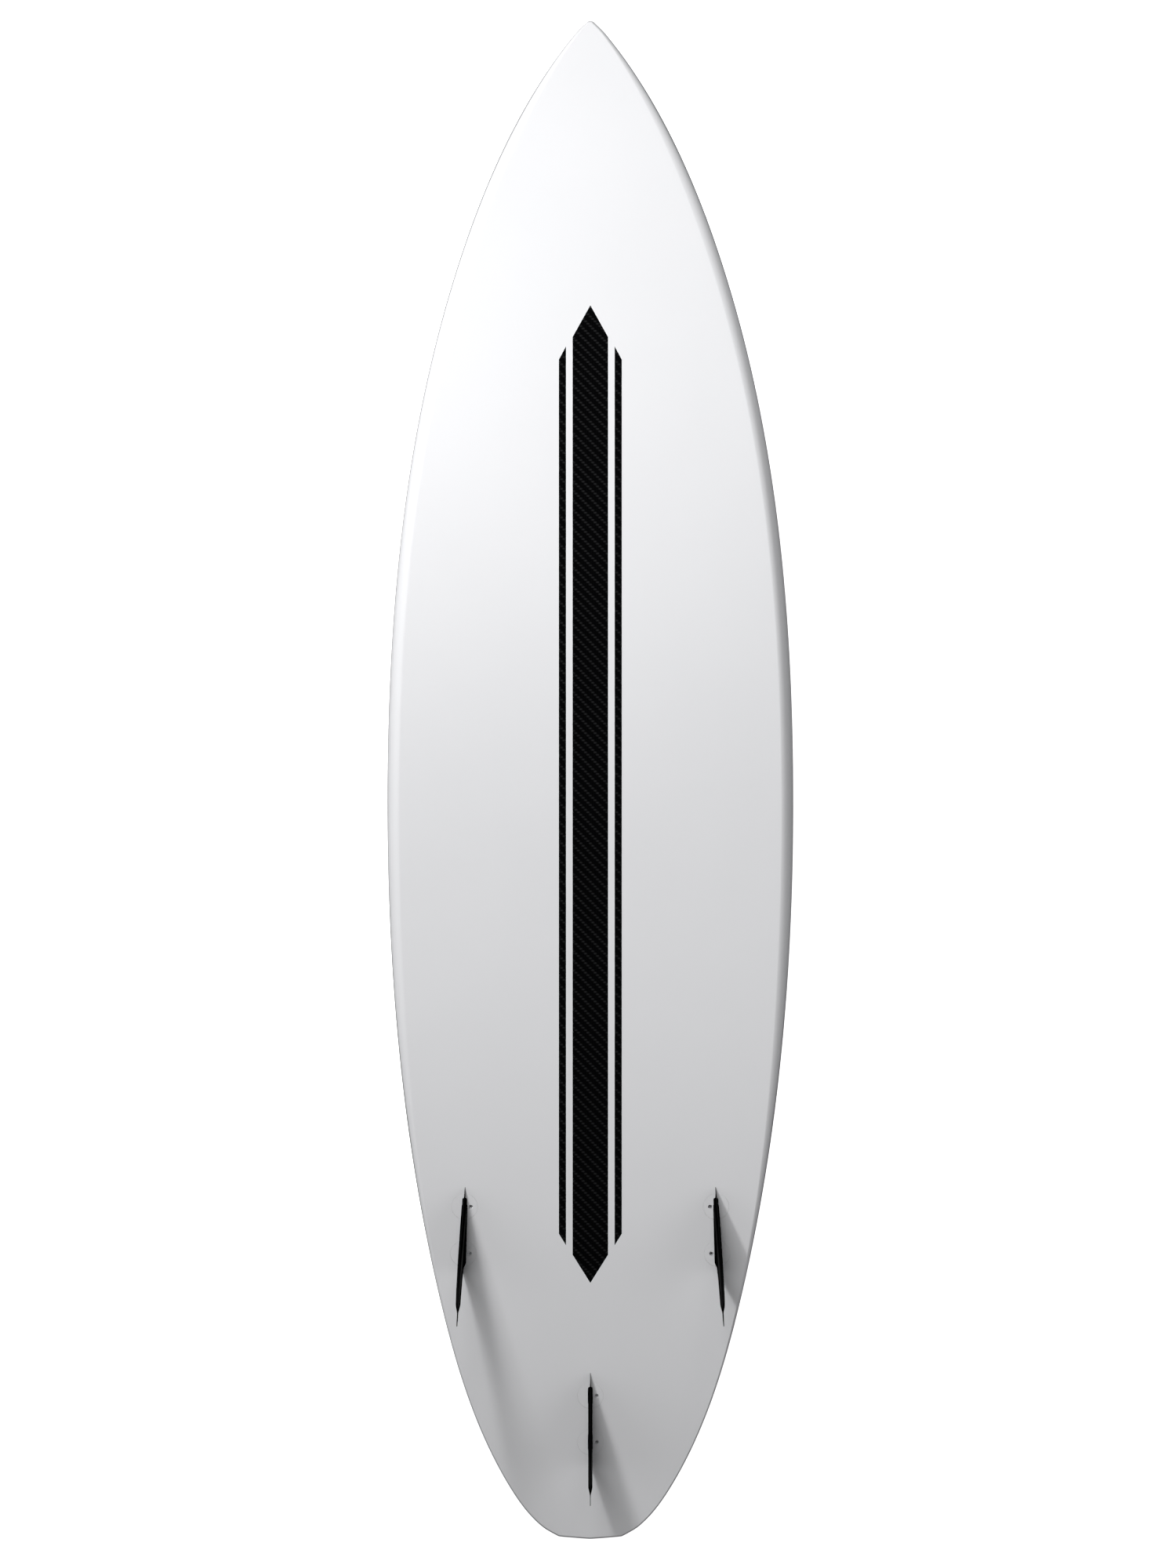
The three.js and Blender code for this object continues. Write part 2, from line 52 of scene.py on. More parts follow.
# ------------------------------------------------------------------ dimensions, mm, as in the CAD frame
LENGTH, WIDTH, THICKNESS = 1701.8, 454.0, 55.6
OUTLINE = [
    [0, 0], [6, 0.31], [12, 0.74], [18, 1.22], [24, 1.73], [30, 2.25], [33.4, 2.6], [35.4, 2.98],
    [37.2, 3.8], [39.4, 5.0], [42.48, 6.7], [50.61, 11.49], [59.15, 18.51],
    [68.39, 28.01], [78.66, 40.98], [89.84, 57.99], [102.41, 79.98], [117.19, 109.98], [133.56, 150.01],
    [150.03, 200.03], [165.94, 260.01], [181.44, 329.99], [195.97, 409.99], [208.6, 500.01], [218.42, 600.01],
    [224.3, 700.04], [226.67, 799.96], [225.94, 900], [221.95, 999.96], [213.92, 1099.98], [201, 1199.96],
    [184.38, 1289.96], [164.96, 1370.03], [143.92, 1439.96], [122.31, 1500.01], [101.02, 1549.97],
    [81.13, 1590.01], [62.93, 1622.02], [46.32, 1647.99], [32.86, 1667.03], [22.1, 1680.99], [14.12, 1690.53],
    [8.47, 1696.15], [4.2, 1700.15], [2.3, 1701.58], [0, 1701.8],
]
OUTLINE_SCALE = WIDTH / 2 / 226.67
ROCKER = [[0, 60], [150, 38.5], [305, 21.6], [500, 7.6], [700, 1.3], [850, 0.1], [1000, 4.6],
          [1200, 23.0], [1397, 55.5], [1550, 90.0], [LENGTH, 133]]
THICK = [[0, 11], [50, 16.2], [100, 21.6], [200, 30.6], [305, 38.2], [500, 48.0], [700, 53.9],
         [880, THICKNESS], [1060, 54.2], [1230, 49.2], [1397, 38.4], [1550, 24.0], [1650, 13.8], [LENGTH, 8.5]]
APEX = [[0, 2.2], [150, 2.4], [300, 4.2], [500, 9], [700, 14], [900, 17], [1150, 16.4],
        [1397, 12.4], [1550, 9.2], [1640, 6.4], [LENGTH, 4]]
TUCK = [[0, 1.6], [150, 1.8], [300, 3.6], [450, 8], [600, 12], [800, 14], [1200, 14], [1400, 13.6],
        [1550, 11.5], [1640, 7], [LENGTH, 2.2]]
HULL_LIFT, HULL_PITCH = 68.905, 0.040708
DOME_P, DOME_Q, DOME_TAIL, DOME_NOSE, TUCK_A = 2.65, 0.53, 3.6, 1.6, 1.6
FAN_TAIL, FAN_NOSE = 55, 60
SKIN, STRIP = 1.4, 0.7
STRIP_WIDE = 39.6
STRIP_NARROW = (27.2, 35.2)
STRIP_WIDE_S = (287.6, 319.2, 1346.6, 1382.2)
STRIP_NARROW_S = ((329.8, 342.9), (1336.2, 1321.2))
FIN = {
    "side": dict(x=141.4, s=346.9, toe=1.4, cant=2.8, base=97.4, depth=112, over=45, thick=6.4, taper=0.2, lead=21, hollow=3.4),
    "centre": dict(x=0, s=134.9, toe=0, cant=0, base=105, depth=108, over=26, thick=4.8, taper=0.02, lead=24, hollow=4.5),
}
FIN_EDGE = 0.4
TAB = dict(at=26.5, length=19, thick=4.6, depth=13)
PLUG = dict(r=14.5, depth=17, slot_length=20, slot_width=5.6, slot_depth=14.2)
SCREW = dict(r=2, length=6, tilt=20, tip_v=4.3, tip_w=-7, hex=2, socket=2, hole_r=2.25)
CUP = dict(s=64, r=15, depth=14.5, mouth=11, floor=9, hollow=12, proud=0.3)
PIN = dict(r=1.75, half=13, down=3.2)
PLUG_GAP = 0.10          # the hairline round a plug
PAINTED_SHADE_HEIGHT = 4.5                # height over the widest line of a grey line of painted shade along the rail's edge
PAINTED_SHADE_PART = 0.55          # and no more than this part of the height of the widest line


# ------------------------------------------------------------------ curves
class Spline:            # natural cubic
    def __init__(self, pts):
        self.x = np.array([p[0] for p in pts], float)
        self.y = np.array([p[1] for p in pts], float)
        x, y, n = self.x, self.y, len(pts)
        m, c, d = np.zeros(n), np.zeros(n), np.zeros(n)
        for i in range(1, n - 1):
            h0, h1 = x[i] - x[i - 1], x[i + 1] - x[i]
            r = 6 * ((y[i + 1] - y[i]) / h1 - (y[i] - y[i - 1]) / h0)
            b = 2 * (h0 + h1) - h0 * c[i - 1]
            c[i] = h1 / b
            d[i] = (r - h0 * d[i - 1]) / b
        for i in range(n - 2, 0, -1):
            m[i] = d[i] - c[i] * m[i + 1]
        self.m = m

    def __call__(self, t):
        t = np.asarray(t, float)
        i = np.clip(np.searchsorted(self.x, t) - 1, 0, len(self.x) - 2)
        h = self.x[i + 1] - self.x[i]
        a, b = (self.x[i + 1] - t) / h, (t - self.x[i]) / h
        return a * self.y[i] + b * self.y[i + 1] + ((a**3 - a) * self.m[i] + (b**3 - b) * self.m[i + 1]) * h * h / 6

    def slope(self, t):
        t = np.asarray(t, float)
        return self(t + 0.5) - self(t - 0.5)


rocker, thick, apex, tuck = Spline(ROCKER), Spline(THICK), Spline(APEX), Spline(TUCK)


def bottom_z(s):
    return HULL_LIFT + HULL_PITCH * np.asarray(s, float) - rocker(s)


def bottom_slope(s):
    return HULL_PITCH - rocker.slope(s)


pts = [(x * OUTLINE_SCALE, s) for x, s in OUTLINE]
pts = [(-pts[i][0], pts[i][1]) for i in (3, 2, 1)] + pts + [(-pts[-1 - i][0], pts[-1 - i][1]) for i in (1, 2, 3)]
dist = [0.0]
for p, q in zip(pts, pts[1:]):
    dist.append(dist[-1] + math.hypot(q[0] - p[0], q[1] - p[1]))
outline_x = Spline([(d, p[0]) for d, p in zip(dist, pts)])
outline_s = Spline([(d, p[1]) for d, p in zip(dist, pts)])
T0, T1 = dist[3], dist[2 + len(OUTLINE)]
KNOTS = dist[3:3 + len(OUTLINE)]


# ------------------------------------------------------------------ the hull as a surface
def station(t):
    t = np.asarray(t, float)
    x, s = outline_x(t), outline_s(t)
    ax, as_, bx, bs = outline_x(t - 0.05), outline_s(t - 0.05), outline_x(t + 0.05), outline_s(t + 0.05)
    ln = np.hypot(bx - ax, bs - as_)
    nx, ns = -(bs - as_) / ln, (bx - ax) / ln
    c = s + 45 * np.exp(-s / 150) - 50 * np.exp(-(LENGTH - s) / 150)
    c = np.clip(c, FAN_TAIL, LENGTH - FAN_NOSE)
    e = np.hypot(x, c - s)
    cos = np.maximum(0.3, (-x * nx + (c - s) * ns) / e)
    sc = np.clip(s, 0, LENGTH)
    et = np.minimum(tuck(sc), 0.5 * e * cos)
    return dict(x=x, s=s, c=c, sc=sc, ha=np.maximum(apex(sc), 0.4), edge=1 - et / (e * cos), et=et,
                p=DOME_P + DOME_TAIL * np.exp(-sc / 90) + DOME_NOSE * np.exp(-(LENGTH - sc) / 80))


def rail_point(t, w):    # w 0 at the tuck edge, 1 at the widest line
    q = station(t)
    u = 1 - (1 - w) ** 2
    f = q["edge"] + (1 - q["edge"]) * u
    x, s = q["x"] * f, q["c"] + (q["s"] - q["c"]) * f
    z = bottom_z(s) - q["ha"] * (1 - np.sqrt(np.maximum(0, 1 - u**TUCK_A)))
    return np.stack([x, s, z], -1)


def deck_point(t, v):    # v 0 at the widest line, 1 on the centre line
    q = station(t)
    f = 1 - v * v
    x, s = q["x"] * f, q["c"] + (q["s"] - q["c"]) * f
    z = bottom_z(s) - (q["ha"] + (thick(s) - q["ha"]) * np.maximum(0, 1 - f ** q["p"]) ** DOME_Q)
    return np.stack([x, s, z], -1)


def grid_normals(fn, t, v, lo, hi):
    """Unit normals of the surface fn(t, v), with one-sided steps at the ends of v."""
    h = 2e-3
    dt = fn(t + 0.02, v) - fn(t - 0.02, v)
    va, vb = np.clip(v - h, lo, hi), np.clip(v + h, lo, hi)
    dv = fn(t, vb) - fn(t, va)
    n = np.cross(dt, dv)
    return n / np.maximum(np.linalg.norm(n, axis=-1, keepdims=True), 1e-12)


def t_samples():
    a = []
    k = KNOTS
    def run(t0, t1, step):
        n = max(1, int(round((t1 - t0) / step)))
        a.extend(np.linspace(t0, t1, n + 1)[:-1])
    run(k[0], k[6], 3.0)
    run(k[6], k[10], 0.75)
    run(k[10], k[12], 2.5)
    run(k[12], k[-7], 5.0)
    run(k[-7], k[-4], 2.2)
    run(k[-4], k[-1], 0.6)
    a.append(k[-1])
    return np.array(a)


TS = t_samples()
RAIL_W = np.linspace(0, 1, 15)
DECK_V = np.linspace(0, 1, 37)


# ------------------------------------------------------------------ meshes
def make(name, co, faces, corner_normals=None, smooth=True):
    """A mesh object from points in mm in the hull's frame (x, s, z) or already shifted."""
    me = bpy.data.meshes.new(name)
    me.from_pydata([tuple(p) for p in co], [], [tuple(int(i) for i in f) for f in faces])
    me.validate(clean_customdata=False)
    me.update()
    me.polygons.foreach_set("use_smooth", [smooth] * len(me.polygons))
    o = bpy.data.objects.new(name, me)
    bpy.context.scene.collection.objects.link(o)
    if corner_normals is not None and len(corner_normals) == len(me.loops):
        me.normals_split_custom_set([tuple(n) for n in corner_normals])
    return o


def world(p):
    """hull frame in mm to the row frame in metres"""
    p = np.array(p, float)
    p[..., 1] -= LENGTH / 2
    return p * MM


def shell(name, co, normals, faces, wall, painted_rim_shade=None):
    """A closed skin: the outer faces, the same faces one wall in, and a rim along every open edge. wall is a number or
    one per point, and the last argument says how strongly each point shows the painted shade line along the rail's
    widest line.
    """
    co, normals = np.asarray(co, float), np.asarray(normals, float)
    n = len(co)
    wall = np.broadcast_to(np.asarray(wall, float), (n,))
    inner = co - normals * wall[:, None]
    count = {}
    for f in faces:
        for a, b in zip(f, list(f[1:]) + [f[0]]):
            count[(a, b)] = count.get((a, b), 0) + 1
    rim = [(a, b) for (a, b) in count if (b, a) not in count]
    all_co = np.concatenate([co, inner])
    all_faces, cn = [], []
    for f in faces:
        all_faces.append(list(f))
        cn.extend(normals[i] for i in f)
    for f in faces:
        g = [i + n for i in reversed(f)]
        all_faces.append(g)
        cn.extend(-normals[i - n] for i in g)
    for a, b in rim:
        g = [b, a, a + n, b + n]
        fn = np.cross(all_co[g[1]] - all_co[g[0]], all_co[g[2]] - all_co[g[0]])
        ln = np.linalg.norm(fn)
        fn = fn / ln if ln > 1e-12 else normals[a]
        all_faces.append(g)
        cn.extend([fn] * 4)
    used = sorted({i for f in all_faces for i in f})
    back = {old: new for new, old in enumerate(used)}
    all_faces = [[back[i] for i in f] for f in all_faces]
    o = make(name, world(all_co[used]), all_faces, cn)
    if painted_rim_shade is not None:
        painted_rim_shade = np.concatenate([painted_rim_shade, painted_rim_shade])[used]
        o.data.attributes.new("painted_rim_shade", "FLOAT", "POINT").data.foreach_set("value", painted_rim_shade.astype(np.float32))
    return o


class Points:            # points merged by place, each with its normal
    def __init__(self):
        self.key, self.co, self.n, self.w, self.painted_rim_shade = {}, [], [], [], []

    def add(self, p, n, w=SKIN, painted_rim_shade=0.0):
        k = (round(p[0], 4) + 0.0, round(p[1], 4) + 0.0, round(p[2], 3) + 0.0)
        if k not in self.key:
            self.key[k] = len(self.co)
            self.co.append(np.array(p, float))
            self.n.append(np.array(n, float))
            self.w.append(w)
            self.painted_rim_shade.append(float(painted_rim_shade))
        return self.key[k]


def add_grid(points, faces, P, N, W, L, outward):
    """A grid of points for the right half and its mirror image. outward is +1 or -1 for the winding."""
    for side in (1, -1):
        idx = np.empty(P.shape[:2], int)
        for i in range(P.shape[0]):
            for j in range(P.shape[1]):
                p, n = P[i, j].copy(), N[i, j].copy()
                if side < 0:
                    p[0], n[0] = -p[0], -n[0]
                if abs(p[0]) < 1e-4:
                    p[0] = 0.0
                    n[0] = 0.0
                    n /= np.linalg.norm(n)
                idx[i, j] = points.add(p, n, W[i, j], L[i, j])
        for i in range(P.shape[0] - 1):
            for j in range(P.shape[1] - 1):
                f = [idx[i, j], idx[i, j + 1], idx[i + 1, j + 1], idx[i + 1, j]]
                g = [f[k] for k in range(4) if f[k] != f[k - 1]]
                if len(set(g)) < 3:
                    continue
                faces.append(g if side * outward > 0 else g[::-1])


def inside(poly, p):
    """Which of the points p lie in the polygon poly."""
    poly, p = np.asarray(poly, float), np.asarray(p, float)
    x, y = p[:, 0], p[:, 1]
    hit = np.zeros(len(p), bool)
    for (x0, y0), (x1, y1) in zip(poly, np.roll(poly, -1, 0)):
        cross = (y0 > y) != (y1 > y)
        if y1 != y0:
            hit ^= cross & (x < (x1 - x0) * (y - y0) / (y1 - y0) + x0)
    return hit


def clear_of(polys, p, d):
    """Which of the points p lie further than d from every edge of the polygons."""
    p = np.asarray(p, float)
    ok = np.ones(len(p), bool)
    for poly in polys:
        a = np.asarray(poly, float)
        b = np.roll(a, -1, 0)
        for k in range(0, len(a), 64):
            A, B = a[k:k + 64], b[k:k + 64]
            ab = B - A
            ln = np.maximum((ab**2).sum(1), 1e-12)
            ap = p[:, None] - A[None]
            t = np.clip((ap * ab).sum(2) / ln, 0, 1)
            dd = np.linalg.norm(ap - t[..., None] * ab, axis=2).min(1)
            ok &= dd > d
    return ok


def triangulate(polys, extra):
    """Delaunay triangles of the polygons' points and the extra ones, with the polygons' edges kept. Returns 2-D points and triangles."""
    v, e = [], []
    for poly in polys:
        k = len(v)
        v += [(float(a), float(b)) for a, b in poly]
        e += [(k + i, k + (i + 1) % len(poly)) for i in range(len(poly))]
    v += [(float(a), float(b)) for a, b in extra]
    out, _, tri, orig, _, _ = delaunay_2d_cdt([Vector(p) for p in v], e, [], 0, 1e-5)
    co = np.array([(p.x, p.y) for p in out])
    for i, o in enumerate(orig):     # the points as they were, to the last digit
        if o:
            co[i] = v[o[0]]
    return co, [list(t) for t in tri if len(t) == 3]


def single(p):
    """The points as triangulate() met them, which holds coordinates in single precision."""
    return np.asarray(p, np.float32).astype(float)


def resample(poly, step):
    """A closed polygon with points along its straight sides."""
    out = []
    for a, b in zip(poly, list(poly[1:]) + [poly[0]]):
        a, b = np.array(a, float), np.array(b, float)
        n = max(1, int(round(np.linalg.norm(b - a) / step)))
        out += [tuple(a + (b - a) * i / n) for i in range(n)]
    return out


# ------------------------------------------------------------------ fin frames
def fin_frame(kind, side):
    F = FIN[kind]
    sl = float(bottom_slope(F["s"]))
    up = Vector((0, -sl, 1)).normalized()
    toe = math.radians(F["toe"]) * side
    forward = Vector((-math.sin(toe), math.cos(toe), 0))
    forward.z = sl * forward.y
    forward.normalize()
    up.rotate(Matrix.Rotation(math.radians(F["cant"]) * side, 3, forward))
    port = up.cross(forward).normalized()
    m = Matrix((
        (forward.x, port.x, up.x, side * F["x"]),
        (forward.y, port.y, up.y, F["s"] - LENGTH / 2),
        (forward.z, port.z, up.z, float(bottom_z(F["s"]))),
        (0, 0, 0, 1)))
    return F, m


FINS = [("left", "side", -1, -1), ("right", "side", 1, 1), ("centre", "centre", 0, -1)]
ENDS = [("front", TAB["at"]), ("rear", -TAB["at"])]
FRAMES = {n: fin_frame(k, s) for n, k, s, _ in FINS}


def plug_frame(name, at):
    """A frame on the bottom at the middle of a plug: its Z axis stands square to the bottom there."""
    F, m = FRAMES[name]
    p = m @ Vector((at, 0, 0))
    s = p.y + LENGTH / 2
    for _ in range(4):      # down or up the plug's axis to the bottom
        p += m.to_3x3() @ Vector((0, 0, 1)) * (float(bottom_z(s)) - p.z)
        s = p.y + LENGTH / 2
    sl = float(bottom_slope(s))
    up = Vector((0, -sl, 1)).normalized()
    f = m.to_3x3() @ Vector((1, 0, 0))
    f = (f - up * f.dot(up)).normalized()
    port = up.cross(f)
    return Matrix(((f.x, port.x, up.x, p.x), (f.y, port.y, up.y, p.y), (f.z, port.z, up.z, p.z), (0, 0, 0, 1)))


PLUGS = {(n, e): plug_frame(n, at) for n, *_ in FINS for e, at in ENDS}


def circle_on_bottom(m, r, n=72):
    out = []
    for i in range(n):
        a = 2 * math.pi * i / n
        p = m @ Vector((r * math.cos(a), r * math.sin(a), 0))
        out.append((p.x, p.y + LENGTH / 2))
    return out


# ------------------------------------------------------------------ bottom skin and strips
station_ts = station(TS)
edge_row = rail_point(TS, np.zeros_like(TS))
half = [(float(x), float(s)) for x, s in edge_row[:, :2]]
tuck_poly = half + [(-x, s) for x, s in reversed(half[1:-1])]

hw = STRIP_WIDE / 2
wide_poly = [(0, STRIP_WIDE_S[0]), (hw, STRIP_WIDE_S[1]), (hw, STRIP_WIDE_S[2]), (0, STRIP_WIDE_S[3]),
             (-hw, STRIP_WIDE_S[2]), (-hw, STRIP_WIDE_S[1])]
(ia, oa), (ib, ob) = STRIP_NARROW_S
x0, x1 = STRIP_NARROW
right_poly = [(x0, ia), (x1, oa), (x1, ob), (x0, ib)]
left_poly = [(-x0, ib), (-x1, ob), (-x1, oa), (-x0, ia)]
strip_polys = {"strip_centre": resample(wide_poly, 9), "strip_right": resample(right_poly, 9),
               "strip_left": resample(left_poly, 9)}
plug_polys = {k: circle_on_bottom(m, PLUG["r"] + PLUG_GAP) for k, m in PLUGS.items()}
all_polys = [tuck_poly, *strip_polys.values(), *plug_polys.values()]

gx, gs = np.meshgrid(np.arange(-225, 226, 9.0), np.arange(4.5, LENGTH, 9.0))
grid_pts = np.stack([gx.ravel() + (np.round(gs.ravel() / 9).astype(int) % 2) * 4.5, gs.ravel()], 1)
grid_pts = grid_pts[inside(tuck_poly, grid_pts)]
grid_pts = grid_pts[clear_of(all_polys, grid_pts, 3.2)]
flat_co, flat_tri = triangulate(all_polys, grid_pts)
mid = flat_co[np.array(flat_tri)].mean(1)
in_tuck = inside(tuck_poly, mid)
owner = np.where(in_tuck, "skin", "out").astype(object)
for key, poly in strip_polys.items():
    owner[inside(poly, mid)] = key
for key, poly in plug_polys.items():
    owner[inside(poly, mid)] = "plug"


def bottom_at(p):
    z = bottom_z(p[:, 1])
    sl = bottom_slope(p[:, 1])
    n = np.stack([np.zeros_like(sl), -sl, np.ones_like(sl)], 1)
    return np.column_stack([p, z]), n / np.linalg.norm(n, axis=1, keepdims=True)


flat3, flat_n = bottom_at(flat_co)


def up_tri(t):
    a, b, c = flat_co[t[0]], flat_co[t[1]], flat_co[t[2]]
    area = (b[0] - a[0]) * (c[1] - a[1]) - (b[1] - a[1]) * (c[0] - a[0])
    return t if area > 0 else t[::-1]


# wall thickness of the skin along the rail, thinner where the rail is tight
rail_wall = np.minimum(SKIN, np.minimum(0.5 * station_ts["ha"], 0.55 * station_ts["et"] + 0.2))

points, faces = Points(), []
for k, t in enumerate(flat_tri):
    if owner[k] == "skin":
        f = [points.add(flat3[i], flat_n[i], SKIN) for i in up_tri(t)]
        if len(set(f)) == 3:
            faces.append(f)
TT, WW = np.meshgrid(TS, RAIL_W, indexing="ij")
P = rail_point(TT, WW)
N = grid_normals(rail_point, TT, WW, 0, 1)
if N[..., 2].mean() < 0:
    N = -N
P[:, 0, 2] = bottom_z(P[:, 0, 1])
sl0 = bottom_slope(P[:, 0, 1])
N[:, 0] = np.stack([np.zeros_like(sl0), -sl0, np.ones_like(sl0)], 1) / np.sqrt(1 + sl0**2)[:, None]
rail_n_apex = N[:, -1].copy()
W = SKIN + (rail_wall[:, None] - SKIN) * np.clip(WW * 3, 0, 1)
W[:, 0] = SKIN
# painted shade: a grey line along the rail stands up to the height set above over the widest line, darkening the rail's
# edge
down = bottom_z(P[..., 1]) - P[..., 2]
rise = station_ts["ha"][:, None] - down
painted_rim_shade = np.minimum(PAINTED_SHADE_HEIGHT, PAINTED_SHADE_PART * station_ts["ha"])[:, None]
L = 1 - np.clip((rise - painted_rim_shade * 0.45) / (painted_rim_shade * 0.55), 0, 1)
add_grid(points, faces, P, N, W, L, 1)
bottom_skin = shell("bottom_skin", points.co, points.n, faces, points.w, points.painted_rim_shade)

strips = {}
for key in strip_polys:
    pts_, fs_ = Points(), []
    for k, t in enumerate(flat_tri):
        if owner[k] == key:
            fs_.append([pts_.add(flat3[i], flat_n[i], STRIP) for i in up_tri(t)])
    strips[key] = shell(key, pts_.co, pts_.n, fs_, STRIP)

# ------------------------------------------------------------------ deck skin, with the hole for the leash cup
deck_p_fine = np.linspace(T0, T1, 4001)
_q = station(deck_p_fine)


def deck_height(x, s):
    """Height and normal of the deck at plan points, found back through the section lines."""
    out = []
    for xi, si in zip(np.abs(x), s):
        g = xi * (_q["s"] - _q["c"]) - (si - _q["c"]) * _q["x"]
        k = np.where(np.diff(np.sign(g)) != 0)[0]
        best = None
        for i in k:
            w = g[i] / (g[i] - g[i + 1]) if g[i] != g[i + 1] else 0
            t = deck_p_fine[i] + w * (deck_p_fine[i + 1] - deck_p_fine[i])
            q = station(t)
            den = math.hypot(float(q["x"]), float(q["s"] - q["c"]))
            f = math.hypot(xi, si - float(q["c"])) / den
            same = xi * float(q["x"]) + (si - float(q["c"])) * float(q["s"] - q["c"]) >= -1e-6
            if same and f <= 1.001 and (best is None or f < best[0]):
                best = (f, q)
        if best is None:
            out.append(float(bottom_z(si) - thick(si)))
            continue
        f, q = best
        out.append(float(bottom_z(si) - (q["ha"] + (thick(si) - q["ha"]) * max(0.0, 1 - f ** float(q["p"])) ** DOME_Q)))
    return np.array(out)


points, faces = Points(), []
TT, VV = np.meshgrid(TS, DECK_V, indexing="ij")
P = deck_point(TT, VV)
N = grid_normals(deck_point, TT, VV, 0, 1)
if N[:, 4:-2, 2].mean() > 0:
    N = -N
N[:, 0] = rail_n_apex          # one normal along the widest line, so that no seam shows
apex_row = rail_point(TS, np.ones_like(TS))
P[:, 0] = apex_row
sl = (bottom_slope(P[:, -1, 1]) - thick.slope(P[:, -1, 1]))
N[:, -1] = np.stack([np.zeros_like(sl), sl, -np.ones_like(sl)], 1) / np.sqrt(1 + sl**2)[:, None]
W = np.broadcast_to(rail_wall[:, None], TT.shape) + (SKIN - rail_wall[:, None]) * np.clip(VV * 3, 0, 1)
# the deck's widest line carries the painted shade line in full
L = np.zeros(TT.shape)
L[:, 0] = 1
add_grid(points, faces, P, N, W, L, 1)

cup_s = CUP["s"]
cup_hole = CUP["r"] + 0.12
near = {i for i, p in enumerate(points.co) if math.hypot(p[0], p[1] - cup_s) < 22 and points.n[i][2] < -0.5}
kept = [f for f in faces if not any(i in near for i in f)]
gone = [f for f in faces if any(i in near for i in f)]
edges = {}
for f in gone:
    for a, b in zip(f, f[1:] + [f[0]]):
        edges[(a, b)] = True
ring_next = {a: b for (a, b) in edges if (b, a) not in edges}
start = next(iter(ring_next))
ring, cur = [start], ring_next[start]
while cur != start:
    ring.append(cur)
    cur = ring_next[cur]
ring_poly = [(float(points.co[i][0]), float(points.co[i][1])) for i in ring]
cup_circle = [(cup_hole * math.cos(2 * math.pi * i / 96), cup_s + cup_hole * math.sin(2 * math.pi * i / 96)) for i in range(96)]
cup_circle2 = [((cup_hole + 2.5) * math.cos(2 * math.pi * (i + 0.5) / 64), cup_s + (cup_hole + 2.5) * math.sin(2 * math.pi * (i + 0.5) / 64)) for i in range(64)]
co2, tri2 = triangulate([ring_poly, cup_circle], cup_circle2)
m2 = single(co2)[np.array(tri2)].mean(1)
use = inside(single(ring_poly), m2) & ~inside(single(cup_circle), m2)
ring_at = {(round(points.co[i][0], 3) + 0.0, round(points.co[i][1], 3) + 0.0): i for i in ring}
z2 = deck_height(co2[:, 0], co2[:, 1])
faces = kept
ids = {}
for k, t in enumerate(tri2):
    if not use[k]:
        continue
    f = []
    for i in t:
        if i not in ids:
            key = (round(float(co2[i, 0]), 3) + 0.0, round(float(co2[i, 1]), 3) + 0.0)
            if key in ring_at:
                ids[i] = ring_at[key]
            else:
                s = float(co2[i, 1])
                sl = float(bottom_slope(s) - thick.slope(s))
                n = np.array([0, sl, -1.0]) / math.sqrt(1 + sl * sl)
                ids[i] = points.add((co2[i, 0], s, z2[i]), n, SKIN)
        f.append(ids[i])
    a, b, c = (points.co[i] for i in f)
    area = (b[0] - a[0]) * (c[1] - a[1]) - (b[1] - a[1]) * (c[0] - a[0])
    if len(set(f)) == 3:
        faces.append(f if area < 0 else f[::-1])
deck_skin = shell("deck_skin", points.co, points.n, faces, points.w, points.painted_rim_shade)


# ------------------------------------------------------------------ small solids
def from_bmesh(name, bm, smooth_angle=35):
    me = bpy.data.meshes.new(name)
    bmesh.ops.recalc_face_normals(bm, faces=bm.faces)
    bm.to_mesh(me)
    bm.free()
    o = bpy.data.objects.new(name, me)
    bpy.context.scene.collection.objects.link(o)
    finish_smooth(o, smooth_angle)
    return o


def finish_smooth(o, angle=35):
    me = o.data
    me.polygons.foreach_set("use_smooth", [True] * len(me.polygons))
    me.set_sharp_from_angle(angle=math.radians(angle))
    me.update()


def lathe(name, profile, n=96, angle=35):
    """A closed solid of revolution about Z from (r, z) points that start and end on the axis."""
    bm = bmesh.new()
    rings = []
    for r, z in profile:
        if r < 1e-9:
            rings.append([bm.verts.new((0, 0, z))])
        else:
            rings.append([bm.verts.new((r * math.cos(2 * math.pi * i / n), r * math.sin(2 * math.pi * i / n), z)) for i in range(n)])
    for a, b in zip(rings, rings[1:]):
        for i in range(n):
            j = (i + 1) % n
            q = [a[i % len(a)], a[j % len(a)], b[j % len(b)], b[i % len(b)]]
            u = []
            for v in q:
                if v not in u:
                    u.append(v)
            if len(u) > 2:
                bm.faces.new(u)
    return from_bmesh(name, bm, angle)


def prism(name, outline, z0, z1, bevel=0.0, angle=35):
    """A straight solid along Z from a closed outline."""
    bm = bmesh.new()
    lo = [bm.verts.new((x, y, z0)) for x, y in outline]
    hi = [bm.verts.new((x, y, z1)) for x, y in outline]
    bm.faces.new(lo[::-1])
    bm.faces.new(hi)
    for i in range(len(outline)):
        j = (i + 1) % len(outline)
        bm.faces.new([lo[i], lo[j], hi[j], hi[i]])
    if bevel:
        top = [e for e in bm.edges if (e.verts[0] in lo) == (e.verts[1] in lo)]
        bmesh.ops.bevel(bm, geom=top, offset=bevel, segments=3, profile=0.5, affect="EDGES")
    return from_bmesh(name, bm, angle)


